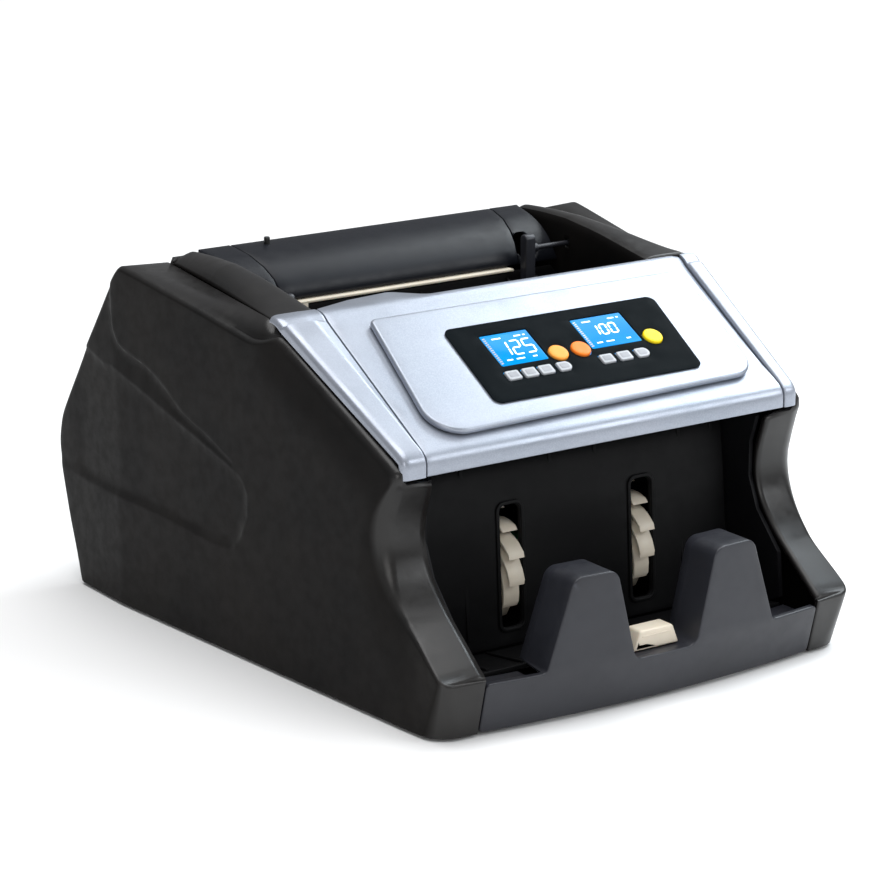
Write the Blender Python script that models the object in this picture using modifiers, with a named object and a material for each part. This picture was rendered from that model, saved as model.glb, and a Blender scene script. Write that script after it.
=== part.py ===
"""Banknote counting machine: an assembly of separate pieces with real joints.

Lengths in this file are millimetres, and MM turns them into metres where a mesh is made.
X runs to the right as the user sees the machine, Y to its back and Z up.
The origin is the middle of the footprint, at the height of the feet's soles.
"""

import math

import bmesh
import bpy
from mathutils import Matrix, Vector

MM = 0.001
GAP = 0.3  # between pieces that touch or slide on each other

# Casing
HALF_DEPTH = 147.0
CASE_BOTTOM = 1.5
SIDE_FRONT = (107.7, -139.0)  # half width of the tapered sides, at this Y
SIDE_REAR = (127.0, 92.0)  # behind this the sides run straight back
WALL = 2.5
EDGE_ROUND = 4.0  # between the side and the surfaces round it
POCKET_ROUND = 3.5  # along the curved edge beside the note pocket
LEDGE_ROUND = 2.5
REAR_ROUND = 5.0
NOSE_ROUND = 13.0
NOSE_TIP = (-137.5, 27.0)  # the front top corner of the side, as (y, z)
SEAM_LAND = 3.0  # the shell's front runs straight across next to its inner edge
REAR_SEAM = 100.0  # half width of the rear cover
FRONT_SEAM = 88.0  # half width of the note pocket and the trough
LEDGE_FRONT = (113.0, -28.0, 154.0)  # crease between side shell and hopper cheek
LEDGE_REAR = (100.0, 91.0, 158.0)
REAR_PROFILE = [(91, 158), (98, 149), (118, 118), (136, 90), (144, 79), (HALF_DEPTH, 66),
                (144, 53), (138, 30), (132, 12), (129, CASE_BOTTOM)]

# Sloping control panel: its own plane runs up the slope from the top of the front lip
PANEL_Y, PANEL_Z = -104.5, 112.0
PANEL_ANGLE = math.radians(27.8)
PANEL_LENGTH = 92.8
LIP_BOTTOM = 103.4
STRIP_OUTER = (104.3, 112.9)  # half width at the lip and at the top
STRIP_REST = 3.0  # how far the shell's rim reaches under a strip
SEAM_LEFT = (-91.9, -89.6)
SEAM_RIGHT = (96.0, 103.0)
FASCIA_RISE = 3.4
FASCIA = [(-83.8, 7.0), (88.0, 10.7), (94.1, 81.0), (-73.3, 81.0)]
FASCIA_ROUNDS = [15, 12, 3, 3]
LABEL_RISE = 0.5
LABEL = ((-47.2, 18.3), (67.0, 66.3))  # lower left and upper right corner on the panel
LABEL_LEAN = (1.6, 4.4)  # how far its left and right edges lean to the right on their way up
LABEL_REST = 4.0  # how far the label lies on the fascia round their common window
REAR_EDGE_Y = -21.2  # the panel's rear edge
STRIP_TAB_Y = -18.3  # the left strip's rear edge
REAR_TAB = {-70.0: -12.0, -47.0: -9.0}  # Y of the panel's rear edge where its tab reaches over the trough
LEFT_SCREEN = ((-31.2, 39.1), (-6.9, 58.7))
RIGHT_SCREEN = ((17.2, 40.2), (44.0, 59.4))
ROUND_BUTTONS = {"start_button": (-0.8, 41.0), "batch_button": (11.1, 41.0), "reset_button": (50.2, 41.1)}
ROUND_RADIUS = 4.6
BUTTON_RISE = 1.0  # above the label
KEY_PLACES = [-29.8, -21.1, -12.6, -3.1, 19.8, 29.1, 38.7]
KEY_ROW = 32.5
KEY_SIZE = (6.8, 5.4)
BUTTON_FOOT = -3.0

# Note pocket
STACKER_FOOT_Y = -135.0  # the plate's foot where it meets the side shells
BOW = 6.0  # how far the stacker plate bows forward in the middle
FINGER_TOP = 63.0
FINGER_DEPTH = 20.0
PLATE_WALL = 3.0
POCKET_FLOOR_Z = 15.0

# Shafts, as (y, z)
DRUM = (18.0, 87.5)
PICKUP = (57.5, 122.0)
RETARD = (-10.8, 93.5)
STACKER = (-62.0, 48.0)
MOTOR = (88.0, 36.0)
DRUM_RADIUS = 20.0
SHAFT_RADIUS = 4.0
PLATE_INNER, PLATE_OUTER = 85.7, 87.7
WHEEL_X = 35.0
WHEEL_RADIUS = 27.0
WHEEL_WIDTH = 8.0
FINS = 14

# Sliding note guides of the hopper
GUIDE_X, GUIDE_THICK = 63.0, 5.4
GUIDE_Y = (41.0, 46.2)
GUIDE_TOP = 158.3
GUIDE_ROD = (43.6, 151.5)
GUIDE_ROD_RADIUS = 1.2
LEFT_GUIDE_DROP = 11.0

FINISHES = {
    "charcoal": ((0.022, 0.022, 0.025), 0.42, 0.0),
    "silver": ((0.62, 0.65, 0.72), 0.30, 0.65),
    "slate": ((0.075, 0.085, 0.11), 0.38, 0.25),
    "black": ((0.006, 0.008, 0.010), 0.25, 0.0),
    "screen": ((0.0, 0.33, 0.85), 0.15, 0.0),
    "key_grey": ((0.55, 0.57, 0.58), 0.40, 0.0),
    "orange": ((0.90, 0.30, 0.03), 0.35, 0.0),
    "amber": ((0.90, 0.20, 0.02), 0.35, 0.0),
    "yellow": ((0.90, 0.65, 0.05), 0.35, 0.0),
    "cream": ((0.72, 0.64, 0.50), 0.50, 0.0),
    "rubber": ((0.02, 0.02, 0.02), 0.80, 0.0),
    "steel": ((0.60, 0.60, 0.62), 0.30, 1.0),
    "board": ((0.02, 0.18, 0.07), 0.45, 0.0),
    "copper": ((0.55, 0.25, 0.12), 0.35, 0.8),
}


# ---------------------------------------------------------------- scene and helpers

def clear_scene():
    for obj in list(bpy.data.objects):
        bpy.data.objects.remove(obj, do_unlink=True)


def new_collection(name):
    collection = bpy.data.collections.new(name)
    bpy.context.scene.collection.children.link(collection)
    return collection


clear_scene()
PARTS = new_collection("banknote_counter")
CUTTERS = new_collection("cutters")


def finish_material(name, finish):
    """A Principled material of its own for one piece."""
    colour, roughness, metallic = FINISHES[finish]
    material = bpy.data.materials.new(name + "_finish")
    material.use_nodes = True
    shader = material.node_tree.nodes["Principled BSDF"]
    shader.inputs["Base Color"].default_value = (*colour, 1.0)
    shader.inputs["Roughness"].default_value = roughness
    shader.inputs["Metallic"].default_value = metallic
    return material


def place(name, data, finish, parent=None, at=(0, 0, 0), turn=(0, 0, 0)):
    obj = bpy.data.objects.new(name, data)
    obj.location = Vector(at) * MM
    obj.rotation_euler = turn
    obj.parent = parent
    PARTS.objects.link(obj)
    data.materials.append(finish_material(name, finish))
    return obj


def place_cutter(name, data, parent=None, at=(0, 0, 0), turn=(0, 0, 0)):
    obj = bpy.data.objects.new(name + "_cutter", data)
    obj.location = Vector(at) * MM
    obj.rotation_euler = turn
    obj.parent = parent
    obj.hide_render = True
    obj.display_type = "WIRE"
    CUTTERS.objects.link(obj)
    return obj


def empty(name, at, turn=(0, 0, 0)):
    obj = bpy.data.objects.new(name, None)
    obj.location = Vector(at) * MM
    obj.rotation_euler = turn
    obj.empty_display_size = 0.01
    PARTS.objects.link(obj)
    return obj


def mesh_from(bm, name, smooth=False):
    bmesh.ops.recalc_face_normals(bm, faces=bm.faces)
    mesh = bpy.data.meshes.new(name)
    bm.to_mesh(mesh)
    bm.free()
    if smooth:
        mesh.shade_smooth()
        mesh.set_sharp_from_angle(angle=math.radians(40))
    return mesh


def block(name, low, high):
    """A box between two opposite corners."""
    low, high = Vector(low) * MM, Vector(high) * MM
    bm = bmesh.new()
    bmesh.ops.create_cube(bm, size=1.0)
    bmesh.ops.scale(bm, vec=high - low, verts=bm.verts)
    bmesh.ops.translate(bm, vec=(low + high) / 2, verts=bm.verts)
    return mesh_from(bm, name)


def prism(name, outline, start, end, axis="Y"):
    """A flat outline pushed along an axis; its two numbers are the other axes in X, Y, Z order."""
    index = "XYZ".index(axis)
    bm = bmesh.new()
    corners = []
    for a, b in outline:
        point = [a * MM, b * MM]
        point.insert(index, start * MM)
        corners.append(bm.verts.new(point))
    face = bm.faces.new(corners)
    grown = bmesh.ops.extrude_face_region(bm, geom=[face])
    move = Vector((0, 0, 0))
    move[index] = (end - start) * MM
    moved = [item for item in grown["geom"] if isinstance(item, bmesh.types.BMVert)]
    bmesh.ops.translate(bm, vec=move, verts=moved)
    return mesh_from(bm, name)


def rounded(outline, radius, steps=3):
    """The outline with each corner replaced by an arc; radius may be one number or one for each corner."""
    count = len(outline)
    radii = [radius] * count if isinstance(radius, (int, float)) else radius
    points = []
    for i, corner in enumerate(outline):
        here = Vector(corner)
        back = (Vector(outline[i - 1]) - here).normalized()
        ahead = (Vector(outline[(i + 1) % count]) - here).normalized()
        half = back.angle(ahead) / 2
        if radii[i] <= 0 or half > math.radians(88):
            points.append(tuple(here))
            continue
        reach = radii[i] / math.tan(half)
        centre = here + (back + ahead).normalized() * (radii[i] / math.sin(half))
        start = here + back * reach - centre
        turn = start.angle_signed(here + ahead * reach - centre)
        for step in range(steps + 1):
            angle = -turn * step / steps
            points.append(tuple(centre + Matrix.Rotation(angle, 2) @ start))
    return points


def cylinder(name, radius, start, end, axis="X", sides=24):
    """A cylinder along an axis through the object's own origin."""
    bm = bmesh.new()
    bmesh.ops.create_cone(bm, cap_ends=True, segments=sides, radius1=radius * MM,
                          radius2=radius * MM, depth=(end - start) * MM)
    bmesh.ops.translate(bm, vec=(0, 0, (start + end) / 2 * MM), verts=bm.verts)
    if axis == "X":
        bmesh.ops.rotate(bm, matrix=Matrix.Rotation(math.pi / 2, 3, "Y"), verts=bm.verts)
    if axis == "Y":
        bmesh.ops.rotate(bm, matrix=Matrix.Rotation(-math.pi / 2, 3, "X"), verts=bm.verts)
    return mesh_from(bm, name, smooth=True)


def surface(name, rows, closed_loops=False, caps=()):
    """An open surface through rows of points; each cap is a face on the first row's points."""
    bm = bmesh.new()
    grid = [[bm.verts.new(Vector(point) * MM) for point in row] for row in rows]
    across = len(rows[0])
    last = across if closed_loops else across - 1
    for upper, lower in zip(grid, grid[1:]):
        for i in range(last):
            j = (i + 1) % across
            bm.faces.new((upper[i], lower[i], lower[j], upper[j]))
    for cap in caps:
        bm.faces.new([grid[0][i] for i in cap])
    return mesh_from(bm, name, smooth=True)


def thicken(obj, thickness, offset=-1.0):
    """Solidify an open surface; offset -1 grows against its normals and 1 along them."""
    solidify = obj.modifiers.new("wall", "SOLIDIFY")
    solidify.thickness = thickness * MM
    solidify.offset = offset
    solidify.use_even_offset = True
    return obj


def bevel(obj, width, segments=2, angle=35):
    modifier = obj.modifiers.new("rounded_edges", "BEVEL")
    modifier.width = width * MM
    modifier.segments = segments
    modifier.limit_method = "ANGLE"
    modifier.angle_limit = math.radians(angle)
    modifier.use_clamp_overlap = True
    return obj


def combine(obj, other, operation="DIFFERENCE"):
    modifier = obj.modifiers.new(operation.lower(), "BOOLEAN")
    modifier.operation = operation
    modifier.object = other
    modifier.solver = "EXACT"
    return obj


def cut_blocks(obj, name, boxes, parent=None):
    for number, (low, high) in enumerate(boxes):
        label = f"{name}_{number}"
        combine(obj, place_cutter(label, block(label, low, high), parent))
    return obj


def turned(name, sections, centre, finish, steps=24):
    """A turned piece along X through (y, z) centre; sections are (from, to, radius), from the left."""
    profile = [(0.0, sections[-1][1])]
    for start, end, radius in reversed(sections):
        profile.append((radius, end))
        profile.append((radius, start))
    profile.append((0.0, sections[0][0]))
    bm = bmesh.new()
    line = [bm.verts.new((radius * MM, 0, along * MM)) for radius, along in profile]
    for first, second in zip(line, line[1:]):
        bm.edges.new((first, second))
    mesh = bpy.data.meshes.new(name)
    bm.to_mesh(mesh)
    bm.free()
    obj = place(name, mesh, finish, at=(0, *centre), turn=(0, math.pi / 2, 0))
    screw = obj.modifiers.new("turn", "SCREW")
    screw.axis = "Z"
    screw.angle = 2 * math.pi
    screw.steps = steps
    screw.render_steps = steps
    screw.use_merge_vertices = True
    screw.merge_threshold = 0.00001
    screw.use_smooth_shade = False
    return obj


def flat_ring(name, loops, start, end, centre, finish):
    """Closed (y, z) loops about a centre, the first outside and the rest holes, from X start to end."""
    curve = bpy.data.curves.new(name, "CURVE")
    curve.dimensions = "2D"
    curve.fill_mode = "BOTH"
    curve.extrude = (end - start) / 2 * MM
    for loop in loops:
        spline = curve.splines.new("POLY")
        spline.points.add(len(loop) - 1)
        for point, (y, z) in zip(spline.points, loop):
            point.co = (y * MM, z * MM, 0, 1)
        spline.use_cyclic_u = True
    middle = (start + end) / 2
    return place(name, curve, finish, at=(middle, *centre), turn=(math.pi / 2, 0, math.pi / 2))


def side_x(y):
    """Half width of the casing at this depth."""
    (x0, y0), (x1, y1) = SIDE_FRONT, SIDE_REAR
    return min(x0 + (y - y0) * (x1 - x0) / (y1 - y0), x1)


def ledge(y):
    """The crease between a side shell's top ledge and the hopper cheek."""
    share = (y - LEDGE_FRONT[1]) / (LEDGE_REAR[1] - LEDGE_FRONT[1])
    x = LEDGE_FRONT[0] + share * (LEDGE_REAR[0] - LEDGE_FRONT[0])
    z = LEDGE_FRONT[2] + share * (LEDGE_REAR[2] - LEDGE_FRONT[2])
    return x, z


def on_panel(u, v, w=0.0):
    """The point u across, v up the slope and w out of the panel's plane."""
    sine, cosine = math.sin(PANEL_ANGLE), math.cos(PANEL_ANGLE)
    return (u, PANEL_Y + v * cosine - w * sine, PANEL_Z + v * sine + w * cosine)


def between(pair, share):
    return pair[0] + (pair[1] - pair[0]) * share


# ---------------------------------------------------------------- casing

def side_shell_loops():
    """One side shell's outline: (y, z) on the tapered side, (x, y, z) at its inner edge, and edge radius."""
    loops = [((y, z), (REAR_SEAM, y, z), REAR_ROUND) for y, z in reversed(REAR_PROFILE[1:])]
    loops.append(((88, 157), (REAR_SEAM, LEDGE_REAR[1], 158), EDGE_ROUND))
    for y, z in ((76, 157), (27, 150.7), (-10, 145.3), (-15.5, 145.6)):
        loops.append(((y, z), (ledge(y)[0], y, ledge(y)[1]), LEDGE_ROUND))
    loops.append(((-20, 146.8), (STRIP_OUTER[1] - STRIP_REST, -19.5, 151.0), LEDGE_ROUND))
    rest = -WALL - 2 * GAP
    for v in (87.0, 3.5):
        x = between(STRIP_OUTER, v / PANEL_LENGTH) - STRIP_REST
        loops.append((on_panel(0, v, rest - 0.6)[1:], on_panel(x, v, rest), EDGE_ROUND))
    lip = STRIP_OUTER[0] - STRIP_REST
    loops.append(((-104.9, 106.5), (lip, -100.0, 107.5), EDGE_ROUND))
    loops.append(((-104.6, 103.4), (lip, -100.0, LIP_BOTTOM - 1.5), EDGE_ROUND))
    for outer, inner, radius in (
        ((-104, 101.5), (-103.8, LIP_BOTTOM - 2.0), POCKET_ROUND), ((-98.4, 86), (-98.2, 86), POCKET_ROUND),
        ((-96.6, 77), (-96.8, 76), POCKET_ROUND), ((-97.8, 69), (-98.6, 67), POCKET_ROUND),
        ((-101, 60), (-103, 59.5), POCKET_ROUND), ((-106, 52.5), (-110, 51.5), POCKET_ROUND),
        ((-114, 45), (-117.5, 45.2), POCKET_ROUND), ((-124, 38), (-126, 38.6), POCKET_ROUND),
        (NOSE_TIP, (-141.6, 26.2), NOSE_ROUND), ((-134, CASE_BOTTOM), (-135.5, CASE_BOTTOM), NOSE_ROUND),
    ):
        loops.append((outer, (FRONT_SEAM, *inner), radius))
    for y in (0.0, SIDE_REAR[1]):
        inner = between((FRONT_SEAM, REAR_SEAM), (y + 135) / 264)
        loops.append(((y, CASE_BOTTOM), (inner, y, CASE_BOTTOM), 2.0))
    return loops


def inset(outline, radii):
    """Each (y, z) corner moved inside the outline by its own radius.

    It moves along the ground at the bottom edge, and along its own slope at the tip of the nose."""
    moved = []
    for i, point in enumerate(outline):
        here = Vector(point)
        before = (here - Vector(outline[i - 1])).normalized()
        after = (Vector(outline[(i + 1) % len(outline)]) - here).normalized()
        across = before + after
        inward = Vector((-across.y, across.x)).normalized()
        reach = min(1 / max(0.5, across.length / 2), 1.5)
        if here.y == CASE_BOTTOM:
            inward, reach = Vector((-math.copysign(1, here.x), 0)), 1.0
        if point == NOSE_TIP:
            inward, reach = -before, 1.0
        moved.append(tuple(here + inward * radii[i] * reach))
    return moved


def side_shell(name, side):
    """A hollow moulding with rounded edges, open towards the middle of the machine."""
    loops = side_shell_loops()
    outline = [yz for yz, _, _ in loops]
    radii = [radius for _, _, radius in loops]
    rows = []
    for share in (0.0, 30.0, 60.0, 90.0):
        drop = 1 - math.cos(math.radians(share))
        pull = 1 - math.sin(math.radians(share))
        ring = inset(outline, [radius * pull for radius in radii])
        rows.append([(side * (side_x(q[0]) - radius * drop), *q) for q, radius in zip(ring, radii)])
    rows.append([(side * (x + SEAM_LAND), y, z) if x == FRONT_SEAM else
                 (side * between((x, side_x(y)), 0.2), between((y, p[0]), 0.2), between((z, p[1]), 0.2))
                 for p, (x, y, z), _ in loops])
    rows.append([(side * x, y, z) for _, (x, y, z), _ in loops])
    bend = len(REAR_PROFILE) - 2
    last = len(loops) - 1
    caps = [[last, *range(bend + 1)], list(range(bend, last + 1))]
    shell = place(name, surface(name, rows, closed_loops=True, caps=caps), "charcoal")
    return thicken(shell, WALL)


def rear_cover():
    """The back, from the top behind the hopper down to the base, with vents and mains openings."""
    half = REAR_SEAM - GAP
    profile = [(85.5, 160.9), *REAR_PROFILE]
    rows = [[(-half, y, z), (half, y, z)] for y, z in profile]
    cover = place("rear_cover", surface("rear_cover", rows), "charcoal")
    thicken(cover, WALL)
    slots = [((x - 1.5, 100, 84), (x + 1.5, 150, 104)) for x in range(-30, 31, 10)]
    cut_blocks(cover, "rear_vent", slots)
    mains = [((lo[0] - GAP, -20, lo[1] - GAP), (hi[0] + GAP, 20, hi[1] + GAP))
             for lo, hi in (INLET_BODY, SWITCH_BODY)]
    return cut_blocks(cover, "mains_opening", mains, REAR_FRAME)


def base_tray():
    front, rear = FRONT_SEAM - GAP, REAR_SEAM - GAP
    outline = [(-front, -112), (front, -112), (rear, 125), (-rear, 125)]
    return place("base_tray", prism("base_tray", outline, 3.0, 5.5, "Z"), "charcoal")


def feet():
    for row, y in (("front", -100.0), ("rear", 105.0)):
        for side, x in (("left", -74.0), ("right", 74.0)):
            name = f"foot_{row}_{side}"
            foot = place(name, cylinder(name, 8.0, 0, 3.0 - GAP, "Z"), "rubber", at=(x, y, 0))
            bevel(foot, 0.6)


def hopper_cheek(name, side):
    """The rounded cheek beside the note hopper: outer slope, crown and the trough's side wall."""
    crown = [(-16.5, 155.3, 100), (3.7, 158.7, 100), (21.6, 161.7, 100), (46.0, 164.1, 100),
             (49.5, 164.1, 136), (64, 163.6, 136), (83.5, 161.5, 136)]
    rows = []
    for y, top, foot in crown:
        outer_x, outer_z = ledge(y)
        rise = top - outer_z
        rows.append([(side * x, y, z) for x, z in (
            (outer_x - 2.2, outer_z + 0.5), (outer_x - 5.0, outer_z + 0.6 * rise),
            (outer_x - 9.5, outer_z + 0.95 * rise), (91.0, top), (88.6, top - 1.2),
            (FRONT_SEAM, top - 4.0), (FRONT_SEAM, foot))])
    cheek = place(name, surface(name, rows), "charcoal")
    thicken(cheek, 2.0)
    start, end = sorted((side * 80, side * 96))
    hole = cylinder(name + "_rod_hole", GUIDE_ROD_RADIUS + 0.8, start, end)
    return combine(cheek, place_cutter(name + "_rod_hole", hole, at=(0, *rod_place(side))))


# ---------------------------------------------------------------- hopper

COVER_PROFILE = [(50, 142.5, 65), (50, 147, 65), (54, 152.3, 66), (60, 157, 67.5), (69, 161, 69.5),
                 (79, 163, 71), (83.5, 163.1, 71.4)]


def hopper_back_cover():
    """The curved cover that the waiting notes lean on. Its profile is (y, z, half width)."""
    rows = [[(-half, y, z), (half, y, z)] for y, z, half in COVER_PROFILE]
    return thicken(place("hopper_back_cover", surface("hopper_back_cover", rows), "slate"), 2.4)


def hopper_corner(name, side):
    """The filled corner between the curved cover and a cheek, flush with the cover."""
    rows = [[(side * (half + GAP), y, z), (side * (FRONT_SEAM - GAP), y, z)] for y, z, half in COVER_PROFILE]
    corner = thicken(place(name, surface(name, rows), "charcoal"), 2.2)
    recess = place_cutter(name + "_recess", cylinder("recess", 6.0, 44, 66, "Y"), at=(side * 71, 0, 150))
    return combine(corner, recess)


def light_plate():
    """The pale plate under the curved cover, with a tab at its left end."""
    outline = [(-60, 46.6), (60, 46.6), (60, 62), (-60, 62)]
    plate = place("hopper_light_plate", prism("light_plate", outline, 140.8, 142.0, "Z"), "cream")
    tab = block("tab", (-60, 46.6, 135.0), (-53, 48.8, 142.0))
    return combine(plate, place_cutter("light_tab", tab), "UNION")


def hopper_floor():
    """The back wall and floor of the trough, with windows for the pickup and feed rollers."""
    profile = [(49.6, 139.0), (47.6, 124), (46.6, 114.5), (43.5, 108.5), (37, 106.2), (6, 106)]
    rows = [[(-84, y, z), (84, y, z)] for y, z in profile]
    floor = thicken(place("hopper_floor", surface("hopper_floor", rows), "charcoal"), 2.0, 1.0)
    windows = [((x - 14.5, 40.5, 111.5), (x + 14.5, 54, 133)) for x in (-32.5, 32.5)]
    windows += [((x - 14.5, 4, 98), (x + 14.5, 33, 110)) for x in (-32.5, 32.5)]
    return cut_blocks(floor, "roller_window", windows)


def hopper_front_wall():
    profile = [(-16.9, 150.5), (-15, 126), (-9, 112), (-1.5, 105)]
    rows = [[(-84, y, z), (84, y, z)] for y, z in profile]
    return thicken(place("hopper_front_wall", surface("hopper_front_wall", rows), "charcoal"), 2.0)


def note_guides():
    """Two plates that close in from both sides to centre narrower notes."""
    near, far = GUIDE_Y
    for name, side, top in (("hopper_guide_right", 1, GUIDE_TOP),
                            ("hopper_guide_left", -1, GUIDE_TOP - LEFT_GUIDE_DROP)):
        outline = [(near, 118), (far, 118), (far, top), (near, top)]
        outline = rounded(outline, [0.6, 0.6, 2.4, 2.4])
        plate = prism(name, outline, 0, side * GUIDE_THICK, "X")
        plate = place(name, plate, "slate", at=(side * GUIDE_X, 0, 0))
        start, end = sorted((side * GUIDE_THICK / 2, side * (98.0 - GUIDE_X)))
        rod = cylinder(name + "_rod", GUIDE_ROD_RADIUS, start, end)
        combine(plate, place_cutter(name + "_rod", rod, at=(side * GUIDE_X, *rod_place(side))), "UNION")


def rod_place(side):
    """Y and Z of a guide's rod: the left guide is lower, so its rod is too."""
    return GUIDE_ROD if side > 0 else (GUIDE_ROD[0], GUIDE_ROD[1] - LEFT_GUIDE_DROP)


# ---------------------------------------------------------------- control panel

def panel_rows(columns, reach):
    """Rows of the folded panel from the bottom of the lip to its rear edge.

    columns gives, for a share 0 at the lip to 1 at the top, the X positions across.
    reach gives the rear edge's Y at each of them."""
    rows = []
    for y, z in ((-105.0, LIP_BOTTOM), (-105.0, 110.2)):
        rows.append([(x, y, z) for x in columns(0.0)])
    rows.append([(x, -104.0, 111.9) for x in columns(0.0)])
    for v in (2.5, 45.0, 87.0):
        rows.append([on_panel(x, v) for x in columns(v / PANEL_LENGTH)])
    rows.append([(x, -24.8, 154.8) for x in columns(1.0)])
    rows.append([(x, y, 156.0) for x, y in zip(columns(1.0), reach)])
    return rows


def label_window():
    """The opening behind the label, in the panel and the fascia, as two corners of a box."""
    (u0, v0), (u1, v1) = LABEL
    return (u0 + LABEL_REST, v0 + LABEL_REST, -6), (u1 - LABEL_LEAN[1] - LABEL_REST, v1 - LABEL_REST, 6)


def control_panel():
    def columns(share):
        left, right = between(SEAM_LEFT, share), between(SEAM_RIGHT, share)
        return [left, *REAR_TAB, -36.0, 10.0, right]
    reach = [STRIP_TAB_Y, *REAR_TAB.values(), REAR_EDGE_Y, REAR_EDGE_Y, REAR_EDGE_Y]
    panel = place("control_panel", surface("control_panel", panel_rows(columns, reach)), "silver")
    thicken(panel, WALL)
    return cut_blocks(panel, "panel_window", [label_window()], PANEL_FRAME)


def panel_strips():
    """The raised silver strips along both sides of the panel."""
    for name, side, seam in (("panel_strip_left", -1, SEAM_LEFT), ("panel_strip_right", 1, SEAM_RIGHT)):
        def columns(share, side=side, seam=seam):
            inner = between(seam, share) + side * GAP
            return [inner, side * between(STRIP_OUTER, share)]
        rows = panel_rows(columns, [STRIP_TAB_Y if side < 0 else REAR_EDGE_Y] * 2)
        thicken(place(name, surface(name, rows), "silver"), WALL)


def fascia():
    """The raised plate that frames the display."""
    outline = rounded(FASCIA, FASCIA_ROUNDS, steps=4)
    plate = prism("panel_fascia", outline, GAP, FASCIA_RISE, "Z")
    plate = place("panel_fascia", plate, "silver", PANEL_FRAME)
    return cut_blocks(plate, "fascia_window", [label_window()], PANEL_FRAME)


def display_label():
    (u0, v0), (u1, v1) = LABEL
    base = FASCIA_RISE + GAP
    outline = [(u0, v0), (u1 - LABEL_LEAN[1], v0), (u1, v1), (u0 + LABEL_LEAN[0], v1)]
    outline = rounded(outline, 4.0)
    label = prism("display_label", outline, base, base + LABEL_RISE, "Z")
    label = place("display_label", label, "black", PANEL_FRAME)
    boxes = [((a[0] - GAP, a[1] - GAP, -6), (b[0] + GAP, b[1] + GAP, 9))
             for a, b in (LEFT_SCREEN, RIGHT_SCREEN)]
    cut_blocks(label, "screen_opening", boxes, PANEL_FRAME)
    for name, (u, v) in ROUND_BUTTONS.items():
        hole = cylinder(name + "_hole", ROUND_RADIUS + GAP, -6, 9, "Z")
        combine(label, place_cutter(name + "_hole", hole, PANEL_FRAME, at=(u, v, 0)))
    half_u, half_v = KEY_SIZE[0] / 2 + GAP, KEY_SIZE[1] / 2 + GAP
    keys = [((u - half_u, KEY_ROW - half_v, -6), (u + half_u, KEY_ROW + half_v, 9)) for u in KEY_PLACES]
    return cut_blocks(label, "key_opening", keys, PANEL_FRAME)


def screens():
    top = FASCIA_RISE + GAP + LABEL_RISE - 0.2
    for name, (low, high) in (("count_screen", LEFT_SCREEN), ("batch_screen", RIGHT_SCREEN)):
        pane = block(name, (*low, BUTTON_FOOT), (*high, top))
        place(name, pane, "screen", PANEL_FRAME)


def buttons():
    """Three round buttons and seven small keys, each with its origin on its own push axis."""
    top = FASCIA_RISE + GAP + LABEL_RISE + BUTTON_RISE
    for (name, (u, v)), finish in zip(ROUND_BUTTONS.items(), ("orange", "amber", "yellow")):
        cap = cylinder(name, ROUND_RADIUS, BUTTON_FOOT, top, "Z")
        cap = place(name, cap, finish, PANEL_FRAME, at=(u, v, 0))
        bevel(cap, 0.7)
    half_u, half_v = KEY_SIZE[0] / 2, KEY_SIZE[1] / 2
    for number, u in enumerate(KEY_PLACES, start=1):
        name = f"key_{number}"
        round_end = 2.4 if number in (4, 7) else 0.8
        corners = [(-half_u, -half_v), (half_u, -half_v), (half_u, half_v), (-half_u, half_v)]
        outline = rounded(corners, [0.8, round_end, round_end, 0.8])
        key = prism(name, outline, BUTTON_FOOT, top - 0.3, "Z")
        place(name, key, "key_grey", PANEL_FRAME, at=(u, KEY_ROW, 0))


def display_board():
    (u0, v0), (u1, v1) = LABEL
    board = block("display_board", (u0 + 4, v0 + 4, -6.4), (u1 - 4, v1 - 4, -4.8))
    return place("display_board", board, "board", PANEL_FRAME)


# ---------------------------------------------------------------- note pocket

def plate_front(x, z):
    """Y of the stacker plate's front face: bowed across, leaning out up to the rim, upright above."""
    lean = 6.2 * min(z, 24.7) / 24.7
    bow = BOW * (1 - (x / FRONT_SEAM) ** 2)
    return STACKER_FOOT_Y - lean - bow


def bowed_slab(name, set_back, depth, low=-12.0, half=FRONT_SEAM + 6):
    """A slab that follows the plate's front face, set back from it."""
    columns = 18
    rows_z = (low, 0.0, 12.0, 24.7, FINGER_TOP + 8)
    bm = bmesh.new()
    grid = []
    for back in (set_back, set_back + depth):
        layer = []
        for z in rows_z:
            xs = [-half + 2 * half * i / columns for i in range(columns + 1)]
            layer.append([bm.verts.new(Vector((x, plate_front(x, z) + back, z)) * MM) for x in xs])
        grid.append(layer)
    for face, (a, b) in zip(grid, ((0, 1), (1, 0))):
        for lower, upper in zip(face, face[1:]):
            for i in range(columns):
                bm.faces.new((lower[i + a], lower[i + b], upper[i + b], upper[i + a]))
    rim, back_rim = (
        [row[0] for row in face] + face[-1][1:] + [row[-1] for row in reversed(face[:-1])] + face[0][-2:0:-1]
        for face in grid)
    for i in range(len(rim)):
        j = (i + 1) % len(rim)
        bm.faces.new((rim[i], rim[j], back_rim[j], back_rim[i]))
    return mesh_from(bm, name)


def mirrored(half_outline):
    return half_outline + [(-x, z) for x, z in reversed(half_outline)]


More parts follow.
